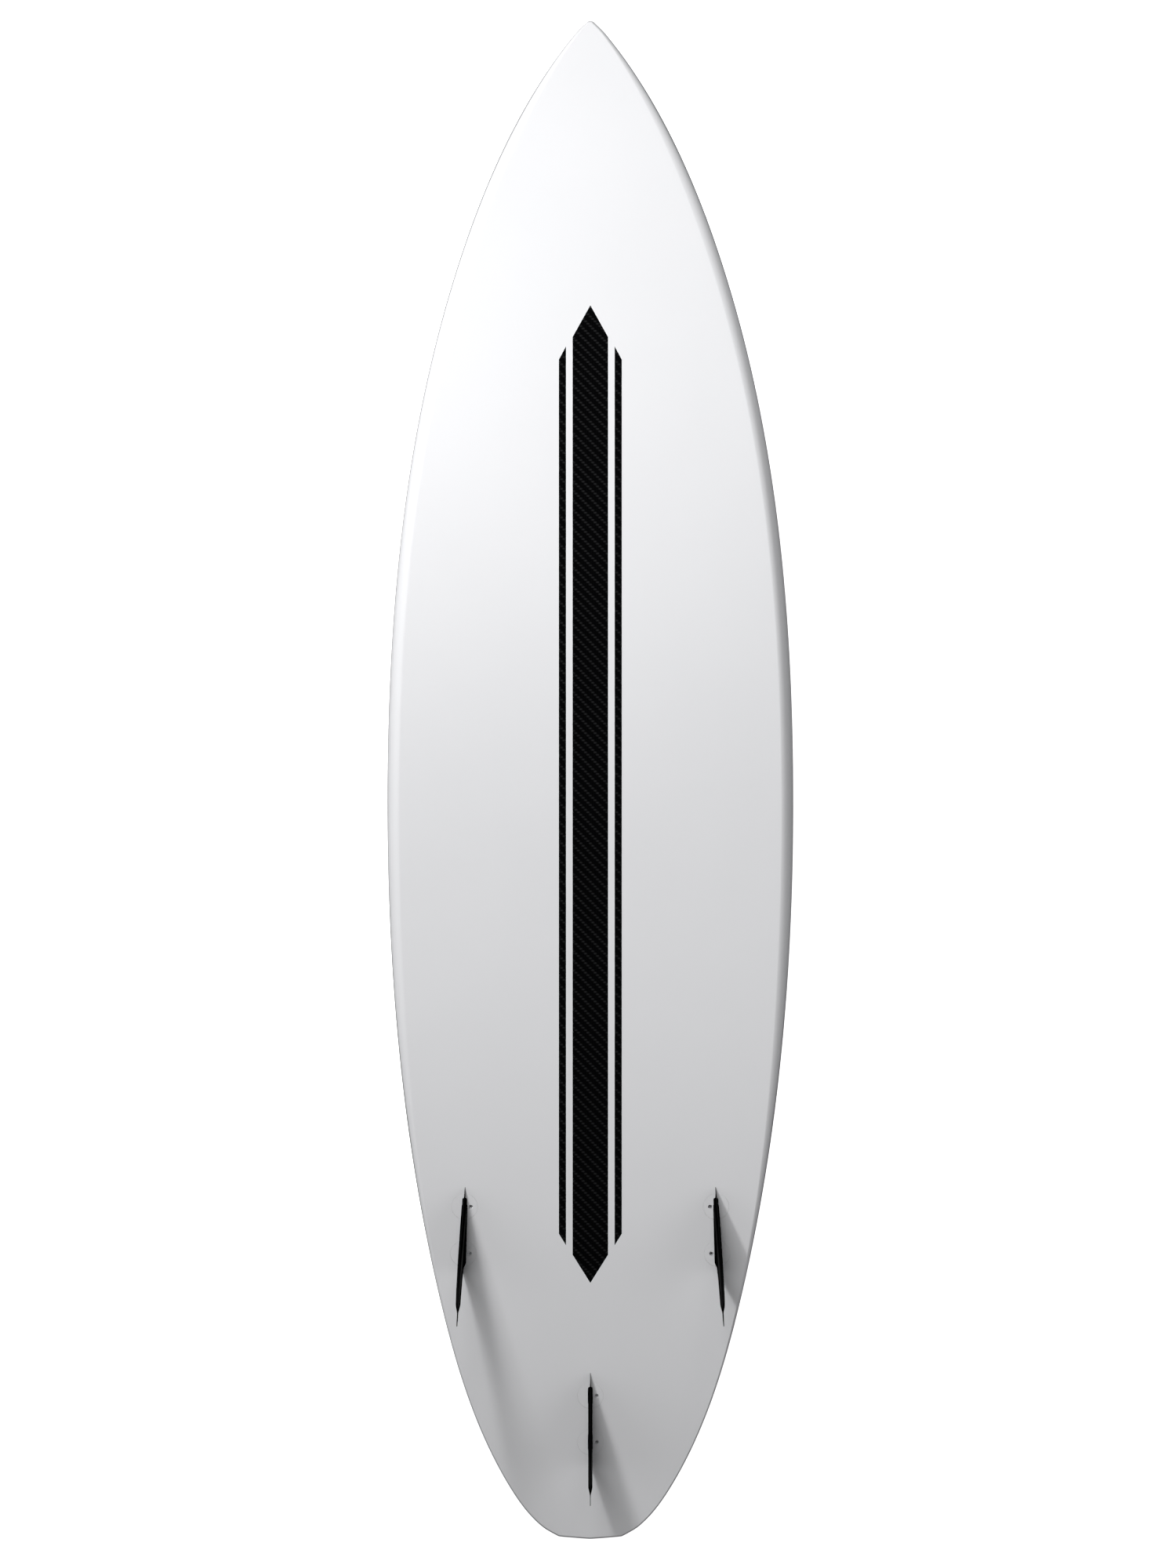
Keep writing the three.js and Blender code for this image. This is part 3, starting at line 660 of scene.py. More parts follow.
def stadium(length, width, n=12):
    """A slot's outline with rounded ends of a small radius."""
    r = min(width / 2, 2.2)
    out = []
    for cx, cy, a0 in ((length / 2 - r, width / 2 - r, 0), (-length / 2 + r, width / 2 - r, 90),
                       (-length / 2 + r, -width / 2 + r, 180), (length / 2 - r, -width / 2 + r, 270)):
        for i in range(n + 1):
            a = math.radians(a0 + 90 * i / n)
            out.append((cx + r * math.cos(a), cy + r * math.sin(a)))
    return out


def place(o, m):
    """Puts a mesh made in mm in a frame in mm into the row frame in metres."""
    o.data.transform(Matrix.Scale(MM, 4) @ m)
    o.data.update()


def boolean(o, other, how="DIFFERENCE", angle=35):
    mod = o.modifiers.new("cut", "BOOLEAN")
    mod.operation, mod.solver, mod.object = how, "EXACT", other
    dg = bpy.context.evaluated_depsgraph_get()
    me = bpy.data.meshes.new_from_object(o.evaluated_get(dg))
    o.modifiers.clear()
    old = o.data
    o.data = me
    me.name = o.name
    bpy.data.meshes.remove(old)
    bpy.data.objects.remove(other)
    finish_smooth(o, angle)


def screw_matrix(cx, port):
    a = math.radians(SCREW["tilt"])
    z = Vector((0, port * math.sin(a), math.cos(a)))
    x = Vector((1, 0, 0))
    y = z.cross(x)
    return Matrix(((x.x, y.x, z.x, cx), (x.y, y.y, z.y, port * SCREW["tip_v"]), (x.z, y.z, z.z, SCREW["tip_w"]), (0, 0, 0, 1)))


plugs, screws, fins = {}, {}, {}
for name, kind, side, screw_side in FINS:
    F, m = FRAMES[name]
    for end, at in ENDS:
        pm = PLUGS[(name, end)]
        r, d = PLUG["r"], PLUG["depth"]
        body = lathe(f"fin_plug_{name}_{end}", [
            (0, -d), (r - 0.8, -d), (r, -d + 0.8), (r, -11.2), (r - 0.7, -10.6), (r - 0.7, -9.4), (r, -8.8),
            (r, -6.2), (r - 0.7, -5.6), (r - 0.7, -4.4), (r, -3.8), (r, -0.1), (r - 0.1, 0), (0, 0)], 96, 12)
        place(body, pm)
        slot = prism("slot", stadium(PLUG["slot_length"], PLUG["slot_width"]), -PLUG["slot_depth"], 8)
        place(slot, m @ Matrix.Translation((at, 0, 0)))
        boolean(body, slot, angle=12)
        hole = prism("hole", [(SCREW["hole_r"] * math.cos(2 * math.pi * i / 48), SCREW["hole_r"] * math.sin(2 * math.pi * i / 48)) for i in range(48)], -0.5, 14)
        place(hole, m @ screw_matrix(at, screw_side))
        boolean(body, hole, angle=12)
        plugs[(name, end)] = body

        # grub screw with a fine helical thread, a cone point and a hexagon socket
        R, ln, pitch, dep, NR, NZ = SCREW["r"], SCREW["length"], 0.7, 0.28, 48, 84
        bm = bmesh.new()
        rows = []
        for j in range(NZ + 1):
            z = ln * j / NZ
            fade = min(1, z / 0.9, (ln - z) / 0.7)
            taper = 0.75 * max(0, 1 - z / 0.8) + 0.25 * max(0, 1 - (ln - z) / 0.35)
            row = []
            for i in range(NR):
                a = 2 * math.pi * i / NR
                ph = (z / pitch - i / NR) % 1
                rr = R - dep * abs(2 * ph - 1) * fade - taper
                row.append(bm.verts.new((rr * math.cos(a), rr * math.sin(a), z)))
            rows.append(row)
        for a, b in zip(rows, rows[1:]):
            for i in range(NR):
                j = (i + 1) % NR
                bm.faces.new([a[i], a[j], b[j], b[i]])
        bm.faces.new(rows[0][::-1])
        # the end face with its socket
        hexr = SCREW["hex"] / 2 / math.cos(math.pi / 6)
        def hex_ring(rad, z, n=NR):
            out = []
            for i in range(n):
                a = 2 * math.pi * i / n
                k = math.cos(math.pi / 6) / math.cos((a % (math.pi / 3)) - math.pi / 6)
                out.append(bm.verts.new((rad * k * math.cos(a), rad * k * math.sin(a), z)))
            return out
        top = [rows[-1], hex_ring(hexr + 0.18, ln), hex_ring(hexr, ln - 0.16), hex_ring(hexr, ln - SCREW["socket"])]
        for a, b in zip(top, top[1:]):
            for i in range(NR):
                j = (i + 1) % NR
                bm.faces.new([a[i], a[j], b[j], b[i]])
        bm.faces.new(top[-1])
        screw = from_bmesh(f"grub_screw_{name}_{end}", bm, 28)
        place(screw, m @ screw_matrix(at, screw_side))
        screws[(name, end)] = screw


# ------------------------------------------------------------------ fins
def blade_half(F, r):
    """Half the blade's thickness at a height of r of its depth: it tapers, and the tip is ground down to a thin edge."""
    half = 0.5 * F["thick"] * (1 - F["taper"] * r)
    t = min(max((r - 0.84) / 0.09, 0), 1)
    return FIN_EDGE + (half - FIN_EDGE) * (1 - t * t * (3 - 2 * t))


def blade_section(F, chord, half):
    """The blade's section as points of [distance behind the leading edge, half thickness]. Both edges are ground hollow and thin, and the middle is flat."""
    lead, trail = min(F["lead"], 0.34 * chord), min(13, 0.62 * chord)
    out = [(lead * 0.008, 0.14), (lead * 0.02, 0.2)]
    for u in np.concatenate([np.linspace(0.08, 0.6, 6), np.linspace(0.66, 0.96, 9), [0.99, 1.02]]):
        k = min(1.0, u ** F["hollow"])
        out.append((lead * u, 0.25 + (half - 0.25) * k))
    for k in (0.25, 0.5, 0.75):
        out.append((lead * 1.02 + (chord - lead * 1.02 - trail) * k, half))
    for u in np.linspace(1, 0.03, 18):
        v = max(0.0, (u - 0.3) / 0.7)
        out.append((chord - trail * u, FIN_EDGE + (half - FIN_EDGE) * v * v * (3 - 2 * v)))
    return out


def blade_curves(F):
    d, b, o = F["depth"], F["base"], F["over"]
    lead = Spline([(w * d, a * (b + o)) for w, a in [(0, 0), (0.09, 0.042), (0.22, 0.118), (0.4, 0.24), (0.58, 0.385),
                   (0.72, 0.52), (0.83, 0.655), (0.91, 0.785), (0.96, 0.885), (0.988, 0.952), (1, 0.985)]])
    trail = Spline([(w * d, b + a * o) for w, a in [(0, 0), (0.08, -0.07), (0.2, -0.1), (0.33, -0.05), (0.47, 0.08), (0.6, 0.28),
                    (0.73, 0.53), (0.84, 0.77), (0.92, 0.92), (0.97, 0.99), (0.99, 0.995), (1, 0.965)]])
    return lead, trail


def fin_mesh(name):
    F, m = FRAMES[name]
    lead, trail = blade_curves(F)
    nr = 64
    rs = 1 - (1 - np.linspace(0, 1, nr)) ** 1.35
    rs = 0.0011 + rs * (0.9975 - 0.0011)
    lift = 0.12
    bm = bmesh.new()
    rows = []
    inv = m.inverted()
    for k, r in enumerate(rs):
        w = r * F["depth"]
        a, b = float(lead(w)), float(trail(w))
        chord = b - a
        sec = blade_section(F, chord, blade_half(F, r))
        X0 = F["base"] / 2 - a
        port = [(X0 - x, y, w) for x, y in sec]
        # the trailing edge is slightly rounded
        X1 = X0 - chord
        end = [(X1 + 0.1, FIN_EDGE, w), (X1 + 0.02, FIN_EDGE * 0.72, w), (X1, 0, w), (X1 + 0.02, -FIN_EDGE * 0.72, w), (X1 + 0.1, -FIN_EDGE, w)]
        ring = [(X0, 0, w)] + port + end + [(x, -y, w) for x, y, _ in reversed(port)]
        if k == 0:      # the base follows the bottom
            base = []
            for X, Y, Z in ring:
                p = m @ Vector((X, Y, 0))
                for _ in range(3):
                    s = p.y + LENGTH / 2
                    p = p + m.to_3x3() @ Vector((0, 0, 1)) * (float(bottom_z(s)) + lift - p.z)
                q = inv @ p
                base.append((X, Y, q.z))
            ring = base
        rows.append([bm.verts.new(p) for p in ring])
    # the lowest rows keep their distance above the base, which is curved
    for k in range(1, 5):
        for i, v in enumerate(rows[k]):
            v.co.z += rows[0][i].co.z * (1 - k / 5)
    for a, b in zip(rows, rows[1:]):
        n = len(a)
        for i in range(n):
            j = (i + 1) % n
            bm.faces.new([a[i], b[i], b[j], a[j]])
    n = len(rows[0])
    for row, rev in ((rows[0], False), (rows[-1], True)):       # caps as strips across
        for i in range((n - 1) // 2 + 1):
            q = [row[i], row[i + 1], row[(n - i - 1) % n], row[(n - i) % n]]
            u = []
            for v in q:
                if v not in u:
                    u.append(v)
            if len(u) > 2:
                try:
                    bm.faces.new(u[::-1] if rev else u)
                except ValueError:
                    pass
    o = from_bmesh(f"fin_{name}", bm, 32)
    place(o, m)
    for _, at in ENDS:
        tab = prism("tab", [(x + at, y) for x, y in stadium(TAB["length"], TAB["thick"])], -TAB["depth"], 0.7, 0)
        place(tab, m)
        boolean(o, tab, "UNION", 32)
    return o


for name, *_ in FINS:
    fins[name] = fin_mesh(name)

# ------------------------------------------------------------------ leash cup and bar
cup_z = float(bottom_z(cup_s) - thick(cup_s))
cup_sl = float(bottom_slope(cup_s) - thick.slope(cup_s))
cz = Vector((0, cup_sl, -1)).normalized()
cx = Vector((1, 0, 0))
cy = cz.cross(cx)
cup_m = Matrix(((cx.x, cy.x, cz.x, 0), (cx.y, cy.y, cz.y, cup_s - LENGTH / 2), (cx.z, cy.z, cz.z, cup_z), (0, 0, 0, 1)))
r, d = CUP["r"], CUP["depth"]
leash_cup = lathe("leash_cup", [
    (0, -d), (r - 0.8, -d), (r - 0.2, -d + 0.3), (r, -d + 0.8), (r, -9.6), (r - 0.6, -9.1), (r - 0.6, -8.1), (r, -7.6), (r, 0.0),
    (r - 0.05, 0.15), (r - 0.18, 0.27), (r - 0.4, CUP["proud"]), (CUP["mouth"] + 0.8, CUP["proud"]), (CUP["mouth"] + 0.35, 0.2), (CUP["mouth"] + 0.08, -0.1),
    (CUP["mouth"], -0.5), (CUP["mouth"] - 0.4, -2.6), (10.1, -6), (9.5, -8.6), (8.9, -10.2), (7.9, -11.3), (6.4, -11.85), (4.5, -CUP["hollow"]), (0, -CUP["hollow"])], 96, 40)
place(leash_cup, cup_m)


def cross_bar(r, half_len, bevel, z):
    o = lathe("leash_pin", [(0, -half_len), (r - bevel, -half_len), (r, -half_len + bevel), (r, half_len - bevel), (r - bevel, half_len), (0, half_len)], 40)
    o.data.transform(Matrix.Translation((0, 0, z)) @ Matrix.Rotation(math.pi / 2, 4, "Y"))
    return o


bore = cross_bar(PIN["r"] + 0.02, PIN["half"] + 0.1, 0.01, -PIN["down"])
bore.name = "bore"
place(bore, cup_m)
boolean(leash_cup, bore, angle=40)
leash_pin = cross_bar(PIN["r"], PIN["half"], 0.25, -PIN["down"])
place(leash_pin, cup_m)


# ------------------------------------------------------------------ materials
def material(name):
    mat = bpy.data.materials.new(name)
    mat.use_nodes = True
    nt = mat.node_tree
    bsdf = nt.nodes["Principled BSDF"]
    return mat, nt, bsdf


def node(nt, kind, **kw):
    n = nt.nodes.new(kind)
    for k, v in kw.items():
        setattr(n, k, v)
    return n


def maths(nt, op, a, b=None, c=None, clamp=False):
    n = node(nt, "ShaderNodeMath", operation=op, use_clamp=clamp)
    for i, v in enumerate((a, b, c)):
        if v is None:
            continue
        if isinstance(v, (int, float)):
            n.inputs[i].default_value = v
        else:
            nt.links.new(v, n.inputs[i])
    return n.outputs[0]


def coords(nt, scale=(1, 1, 1)):
    tc = node(nt, "ShaderNodeTexCoord")
    mp = node(nt, "ShaderNodeMapping")
    mp.inputs["Scale"].default_value = scale
    nt.links.new(tc.outputs["Object"], mp.inputs["Vector"])
    return mp.outputs["Vector"]


def noise(nt, vec, scale, detail=3.0, rough=0.5):
    n = node(nt, "ShaderNodeTexNoise")
    n.inputs["Scale"].default_value = scale
    n.inputs["Detail"].default_value = detail
    n.inputs["Roughness"].default_value = rough
    nt.links.new(vec, n.inputs["Vector"])
    return n.outputs["Fac"]


def ramp(nt, fac, stops):
    n = node(nt, "ShaderNodeValToRGB")
    el = n.color_ramp.elements
    while len(el) > 1:
        el.remove(el[-1])
    el[0].position, el[0].color = stops[0][0], (*stops[0][1], 1)
    for p, c in stops[1:]:
        e = el.new(p)
        e.color = (*c, 1)
    nt.links.new(fac, n.inputs["Fac"])
    return n.outputs["Color"]


def bump(nt, height, strength, distance, after=None):
    n = node(nt, "ShaderNodeBump")
    n.inputs["Strength"].default_value = strength
    n.inputs["Distance"].default_value = distance
    nt.links.new(height, n.inputs["Height"])
    if after is not None:
        nt.links.new(after, n.inputs["Normal"])
    return n.outputs["Normal"]


def remap(nt, v, lo, hi, a=0.0, b=1.0):
    n = node(nt, "ShaderNodeMapRange")
    n.inputs["From Min"].default_value = a
    n.inputs["From Max"].default_value = b
    n.inputs["To Min"].default_value = lo
    n.inputs["To Max"].default_value = hi
    nt.links.new(v, n.inputs["Value"])
    return n.outputs["Result"]


# white epoxy over glass cloth: gloss coat, a trace of the cloth under it and the slow ripple of a sanded coat
def make_epoxy():
    mat, nt, b = material("white_epoxy")
    vec = coords(nt)
    tint = noise(nt, vec, 7.0, 2.0)
    white = ramp(nt, tint, [(0.3, (0.800, 0.803, 0.818)), (0.7, (0.812, 0.815, 0.830))])
    # painted shade: where the skins carry it, a dark grey line is mixed into the white along the rail's widest line, to
    # darken the rail's edge as shade
    painted_rim_shade = node(nt, "ShaderNodeAttribute", attribute_name="painted_rim_shade")
    mix = node(nt, "ShaderNodeMix", data_type="RGBA")
    nt.links.new(maths(nt, "MULTIPLY", painted_rim_shade.outputs["Fac"], remap(nt, noise(nt, vec, 35.0, 3.0), 0.86, 1.0)), mix.inputs["Factor"])
    nt.links.new(white, mix.inputs["A"])
    mix.inputs["B"].default_value = (0.16, 0.162, 0.17, 1)
    nt.links.new(mix.outputs["Result"], b.inputs["Base Color"])
    nt.links.new(remap(nt, noise(nt, vec, 60.0, 4.0), 0.40, 0.50), b.inputs["Roughness"])
    b.inputs["Specular IOR Level"].default_value = 0.35
    b.inputs["Coat Weight"].default_value = 0.6
    b.inputs["Coat Roughness"].default_value = 0.07
    b.inputs["Coat IOR"].default_value = 1.5
    # plain weave of the cloth, 0.9 mm a thread
    sep = node(nt, "ShaderNodeSeparateXYZ")
    nt.links.new(vec, sep.inputs[0])
    wx = maths(nt, "SINE", maths(nt, "MULTIPLY", sep.outputs["X"], 2 * math.pi / 0.0018))
    wy = maths(nt, "SINE", maths(nt, "MULTIPLY", sep.outputs["Y"], 2 * math.pi / 0.0018))
    weave = maths(nt, "MULTIPLY", wx, wy)
    n1 = bump(nt, weave, 0.05, 0.00003)
    n2 = bump(nt, noise(nt, vec, 26.0, 2.0), 0.10, 0.0006, n1)
    nt.links.new(n2, b.inputs["Normal"])
    n3 = bump(nt, noise(nt, vec, 18.0, 1.5), 0.06, 0.0006)
    nt.links.new(n3, b.inputs["Coat Normal"])
    return mat


# 2 x 2 twill carbon under a clear coat
def make_carbon():
    mat, nt, b = material("carbon")
    vec = coords(nt)
    sep = node(nt, "ShaderNodeSeparateXYZ")
    nt.links.new(vec, sep.inputs[0])
    tow = 0.00268
    u = maths(nt, "ADD", maths(nt, "DIVIDE", sep.outputs["X"], tow), 400.0)
    v = maths(nt, "ADD", maths(nt, "DIVIDE", sep.outputs["Y"], tow), 400.0)
    i, j = maths(nt, "FLOOR", u), maths(nt, "FLOOR", v)
    fu, fv = maths(nt, "FRACT", u), maths(nt, "FRACT", v)
    step = maths(nt, "MODULO", maths(nt, "ADD", i, j), 4.0)
    weft = maths(nt, "LESS_THAN", step, 1.5)
    # along and across the float that is on top
    a_weft = maths(nt, "DIVIDE", maths(nt, "ADD", step, fu), 2.0)
    a_warp = maths(nt, "DIVIDE", maths(nt, "SUBTRACT", maths(nt, "ADD", step, fv), 2.0), 2.0)
    def hump(x, power):
        s = maths(nt, "SINE", maths(nt, "MULTIPLY", x, math.pi))
        return maths(nt, "POWER", maths(nt, "MAXIMUM", s, 0.0), power)
    # painted sheen: each float is lighter at its middle, as a highlight on the curved tow
    weft_sheen = maths(nt, "MULTIPLY", hump(a_weft, 1.6), hump(fv, 0.9))
    warp_sheen = maths(nt, "MULTIPLY", hump(a_warp, 1.0), hump(fu, 0.6))
    lift = maths(nt, "ADD", maths(nt, "MULTIPLY", weft, maths(nt, "MULTIPLY", hump(a_weft, 0.7), hump(fv, 0.5))),
                 maths(nt, "MULTIPLY", maths(nt, "SUBTRACT", 1.0, weft), maths(nt, "MULTIPLY", hump(a_warp, 0.7), hump(fu, 0.5))))
    # fine fibres along each tow
    fib_w = noise(nt, coords(nt, (60, 2200, 1)), 1.0, 2.0)
    fib_h = noise(nt, coords(nt, (2200, 60, 1)), 1.0, 2.0)
    # painted sheen in the base colour: the weft floats are painted far lighter than the warp floats, with fibre streaks
    # along them; the twill pattern itself is real
    float_sheen_and_fibres = maths(nt, "ADD",
                 maths(nt, "MULTIPLY", maths(nt, "MULTIPLY", weft, weft_sheen), remap(nt, fib_w, 0.75, 1.25)),
                 maths(nt, "MULTIPLY", maths(nt, "MULTIPLY", maths(nt, "SUBTRACT", 1.0, weft), warp_sheen), remap(nt, fib_h, 0.05, 0.11)))
    nt.links.new(ramp(nt, float_sheen_and_fibres, [(0.0, (0.0006, 0.0006, 0.0008)), (1.0, (0.0158, 0.0160, 0.0166))]), b.inputs["Base Color"])
    nt.links.new(remap(nt, lift, 0.62, 0.42), b.inputs["Roughness"])
    b.inputs["Specular IOR Level"].default_value = 0.03
    b.inputs["Coat Weight"].default_value = 0.25
    b.inputs["Coat Roughness"].default_value = 0.06
    b.inputs["Coat IOR"].default_value = 1.4
    nt.links.new(bump(nt, lift, 0.5, 0.00008), b.inputs["Normal"])
    return mat


# moulded black composite
def make_fin():
    mat, nt, b = material("fin_composite")
    vec = coords(nt)
    n = noise(nt, vec, 40.0, 4.0)
    nt.links.new(ramp(nt, n, [(0.3, (0.0006, 0.0006, 0.0007)), (0.75, (0.0015, 0.0015, 0.0017))]), b.inputs["Base Color"])
    facing = node(nt, "ShaderNodeLayerWeight")
    facing.inputs["Blend"].default_value = 0.5
    edge_on = node(nt, "ShaderNodeMapRange")
    edge_on.inputs["From Min"].default_value, edge_on.inputs["From Max"].default_value = 0.40, 0.70
    edge_on.inputs["To Min"].default_value, edge_on.inputs["To Max"].default_value = 0.5, 0.0
    nt.links.new(facing.outputs["Facing"], edge_on.inputs["Value"])
    nt.links.new(edge_on.outputs["Result"], b.inputs["Coat Weight"])
    b.inputs["Coat Roughness"].default_value = 0.28
    b.inputs["Coat IOR"].default_value = 1.5
    nt.links.new(remap(nt, noise(nt, vec, 220.0, 3.0), 0.45, 0.60), b.inputs["Roughness"])
    b.inputs["Specular IOR Level"].default_value = 0.0
    fine = noise(nt, vec, 2600.0, 2.0)
    grain = noise(nt, coords(nt, (300, 60, 60)), 3.0, 3.0)
    nt.links.new(bump(nt, grain, 0.10, 0.0002, bump(nt, fine, 0.10, 0.00004)), b.inputs["Normal"])
    return mat


def make_plastic():
    mat, nt, b = material("plug_plastic")
    vec = coords(nt)
    nt.links.new(ramp(nt, noise(nt, vec, 160.0, 3.0), [(0.3, (0.800, 0.803, 0.818)), (0.7, (0.812, 0.815, 0.830))]), b.inputs["Base Color"])
    nt.links.new(remap(nt, noise(nt, vec, 500.0, 3.0), 0.40, 0.50), b.inputs["Roughness"])
    nt.links.new(bump(nt, noise(nt, vec, 3200.0, 2.0), 0.08, 0.00003), b.inputs["Normal"])
    b.inputs["Specular IOR Level"].default_value = 0.35
    b.inputs["Coat Weight"].default_value = 0.4
    b.inputs["Coat Roughness"].default_value = 0.12
    return mat


def make_steel():
    mat, nt, b = material("stainless")
    vec = coords(nt)
    nt.links.new(ramp(nt, noise(nt, vec, 300.0, 3.0), [(0.3, (0.74, 0.745, 0.755)), (0.7, (0.86, 0.865, 0.875))]), b.inputs["Base Color"])
    b.inputs["Metallic"].default_value = 1.0
    streak = noise(nt, coords(nt, (400, 4000, 4000)), 1.0, 2.0)
    nt.links.new(remap(nt, streak, 0.42, 0.58), b.inputs["Roughness"])
    nt.links.new(bump(nt, streak, 0.15, 0.00002), b.inputs["Normal"])
    return mat


def make_foam():
    mat, nt, b = material("foam")
    vec = coords(nt)
    cells = node(nt, "ShaderNodeTexVoronoi")
    cells.inputs["Scale"].default_value = 900.0
    nt.links.new(vec, cells.inputs["Vector"])
    nt.links.new(ramp(nt, noise(nt, vec, 30.0, 4.0), [(0.3, (0.83, 0.82, 0.79)), (0.7, (0.88, 0.87, 0.84))]), b.inputs["Base Color"])
    b.inputs["Roughness"].default_value = 0.95
    nt.links.new(bump(nt, cells.outputs["Distance"], 0.4, 0.0003), b.inputs["Normal"])
    return mat


EPOXY, CARBON, COMPOSITE = make_epoxy(), make_carbon(), make_fin()
PLASTIC, STEEL, FOAM = make_plastic(), make_steel(), make_foam()


def wear(o, mat, body, slot, *nodes):
    o.data.materials.clear()
    o.data.materials.append(mat)
    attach(o, body)
    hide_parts(*nodes)


wear(bottom_skin, EPOXY, "board", "white_epoxy", "bottom_laminate")
wear(deck_skin, EPOXY, "board", "white_epoxy", "deck_laminate")
for key, o in strips.items():
    o.name = o.data.name = key + "_skin"
    wear(o, CARBON, "board", "carbon", key)
for name, o in fins.items():
    o.name = o.data.name = f"fin_{name}_blade"
    wear(o, COMPOSITE, f"fin_{name}", "fin_composite", f"fin_{name}")
for (name, end), o in plugs.items():
    o.name = o.data.name = f"plug_{name}_{end}"
    wear(o, PLASTIC, "board", "plug_plastic", f"fin_plug_{name}_{end}")
for (name, end), o in screws.items():
    o.name = o.data.name = f"screw_{name}_{end}"
    wear(o, STEEL, f"grub_screw_{name}_{end}", "stainless", f"grub_screw_{name}_{end}")
leash_cup.name = leash_cup.data.name = "cup_moulding"
wear(leash_cup, PLASTIC, "board", "plug_plastic", "leash_cup")
leash_pin.name = leash_pin.data.name = "cup_bar"
wear(leash_pin, STEEL, "board", "stainless", "leash_pin")
core = frame["nodes"]["foam_core"]
core.data.materials.clear()
core.data.materials.append(FOAM)

# ------------------------------------------------------------------ floor
scene = bpy.context.scene
floor_mat = bpy.data.materials.new("floor_white")
floor_mat.use_nodes = True
nt = floor_mat.node_tree
nt.nodes.clear()
out = nt.nodes.new("ShaderNodeOutputMaterial")
em = nt.nodes.new("ShaderNodeEmission")
em.inputs["Strength"].default_value = 0.90
df = nt.nodes.new("ShaderNodeBsdfDiffuse")
df.inputs["Color"].default_value = (0.8, 0.8, 0.8, 1)
add = nt.nodes.new("ShaderNodeAddShader")
nt.links.new(em.outputs[0], add.inputs[0])
nt.links.new(df.outputs[0], add.inputs[1])
nt.links.new(add.outputs[0], out.inputs["Surface"])
bm = bmesh.new()
bmesh.ops.create_circle(bm, cap_ends=True, segments=128, radius=150)
floor = from_bmesh("floor", bm)
floor.location.z = -0.0004
floor.data.materials.append(floor_mat)
floor.visible_diffuse = floor.visible_glossy = floor.visible_transmission = floor.visible_shadow = False

# ------------------------------------------------------------------ light
studio = bpy.data.worlds.new("studio")
scene.world = studio
studio.use_nodes = True
wn = studio.node_tree
wn.nodes.clear()
w_out = wn.nodes.new("ShaderNodeOutputWorld")
w_bg = wn.nodes.new("ShaderNodeBackground")
w_bg.name = "Background"
w_tc = wn.nodes.new("ShaderNodeTexCoord")
w_sep = wn.nodes.new("ShaderNodeSeparateXYZ")
w_ramp = wn.nodes.new("ShaderNodeValToRGB")
w_map = wn.nodes.new("ShaderNodeMapRange")
w_map.inputs["From Min"].default_value = -1
w_map.inputs["From Max"].default_value = 1
wn.links.new(w_tc.outputs["Generated"], w_sep.inputs[0])
wn.links.new(w_sep.outputs["Z"], w_map.inputs["Value"])
wn.links.new(w_map.outputs["Result"], w_ramp.inputs["Fac"])
w_white = wn.nodes.new("ShaderNodeBackground")
w_white.name = "White"
w_white.inputs["Color"].default_value = (1, 1, 1, 1)
w_white.inputs["Strength"].default_value = 1.0
w_lp = wn.nodes.new("ShaderNodeLightPath")
w_mix = wn.nodes.new("ShaderNodeMixShader")
wn.links.new(w_ramp.outputs["Color"], w_bg.inputs["Color"])
wn.links.new(w_lp.outputs["Is Camera Ray"], w_mix.inputs["Fac"])
wn.links.new(w_bg.outputs[0], w_mix.inputs[1])
wn.links.new(w_white.outputs[0], w_mix.inputs[2])
wn.links.new(w_mix.outputs[0], w_out.inputs["Surface"])


def sky(below, horizon, above):
    """Brightness of the surroundings under, at and over the horizon."""
    el = w_ramp.color_ramp.elements
    while len(el) > 1:
        el.remove(el[-1])
    el[0].position, el[0].color = 0.47, (below, below, below * 1.01, 1)
    for p, v in ((0.505, horizon), (0.66, horizon), (0.72, above)):
        k = el.new(p)
        k.color = (v, v, v * 1.01, 1)


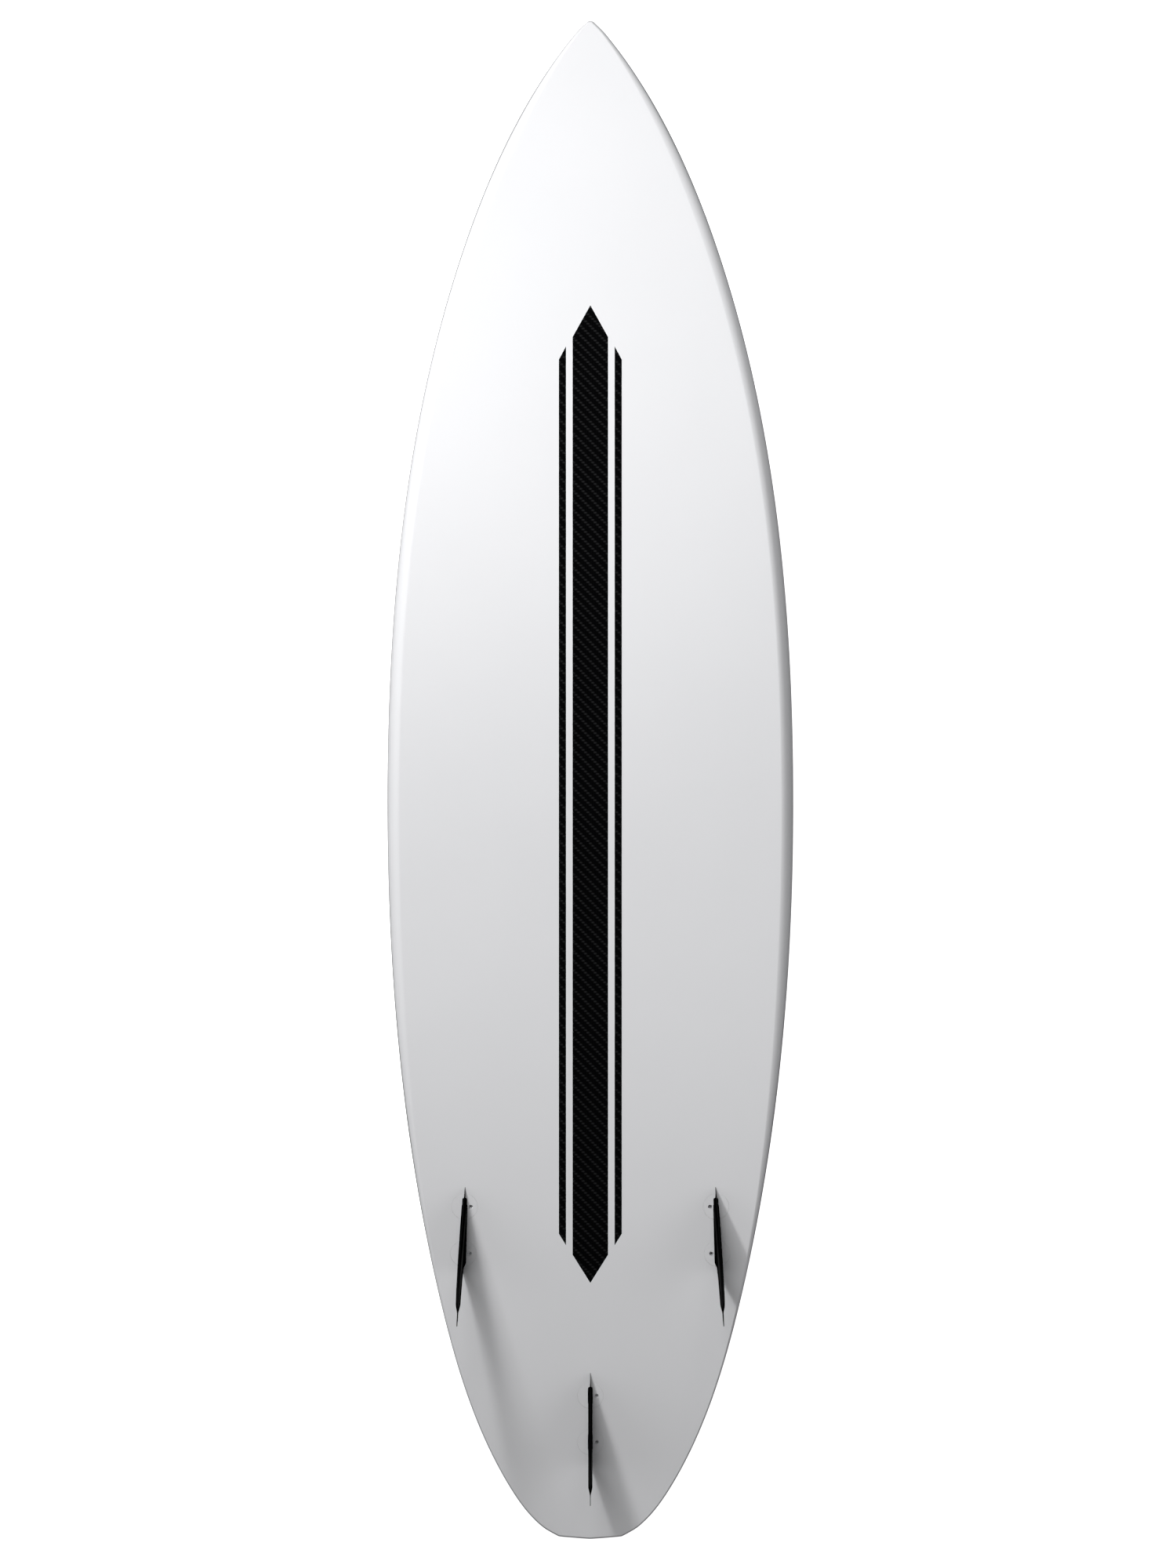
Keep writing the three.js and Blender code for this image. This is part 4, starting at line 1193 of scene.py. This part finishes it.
def sun(name, azimuth, elevation, angle, strength, glossy=True):
    """A broad soft sun. Azimuth 0 is from the nose and 90 from +X. One that isn't glossy lights the board without a glare on it."""
    d = bpy.data.lights.new(name, "SUN")
    d.energy, d.angle = strength, math.radians(angle)
    o = bpy.data.objects.new(name, d)
    scene.collection.objects.link(o)
    a, e = math.radians(azimuth), math.radians(elevation)
    v = Vector((math.sin(a) * math.cos(e), math.cos(a) * math.cos(e), math.sin(e)))
    o.rotation_mode = "QUATERNION"
    o.rotation_quaternion = (-v).to_track_quat("-Z", "Y")
    o.visible_glossy = glossy
    return o


def lamp(name, at, radius, power):
    """A small lamp that doesn't fade with distance."""
    d = bpy.data.lights.new(name, "POINT")
    d.shadow_soft_size, d.energy = radius, power
    d.use_nodes = True
    nt = d.node_tree
    fall = nt.nodes.new("ShaderNodeLightFalloff")
    fall.inputs["Strength"].default_value = 1.0
    nt.links.new(fall.outputs["Constant"], nt.nodes["Emission"].inputs["Strength"])
    o = bpy.data.objects.new(name, d)
    scene.collection.objects.link(o)
    o.location = at
    o.visible_camera = False
    o.visible_glossy = False
    return o


sky(0.20, 0.20, 0.02)
lamp("key_near", (-0.43, 0.55, 0.55), 0.06, 23.6)
lamp("key_far", (-0.70, 1.15, 0.60), 0.07, 13.7)
sun("nose", 0, 40, 30, 0.58)
sun("nose_left", -20, 45, 25, 1.16, False)
sun("right", 90, 40, 40, 0.28)
sun("left", -90, 40, 40, 0.21)
sun("under", 0, -90, 60, 1.6, False)

# ------------------------------------------------------------------ camera
cam = bpy.data.cameras.new("camera")
cam.sensor_width = 36
cam.lens = 819.0
cam.clip_start, cam.clip_end = 1.0, 400
cam_object = bpy.data.objects.new("camera", cam)
scene.collection.objects.link(cam_object)
cam_object.location = (-0.0026, -0.0046, 40.0)
cam_object.rotation_euler = (0, 0, 0)
scene.camera = cam_object

scene.view_settings.view_transform = "Standard"
scene.view_settings.look = "None"
scene.view_settings.exposure = 0
scene.view_settings.gamma = 1
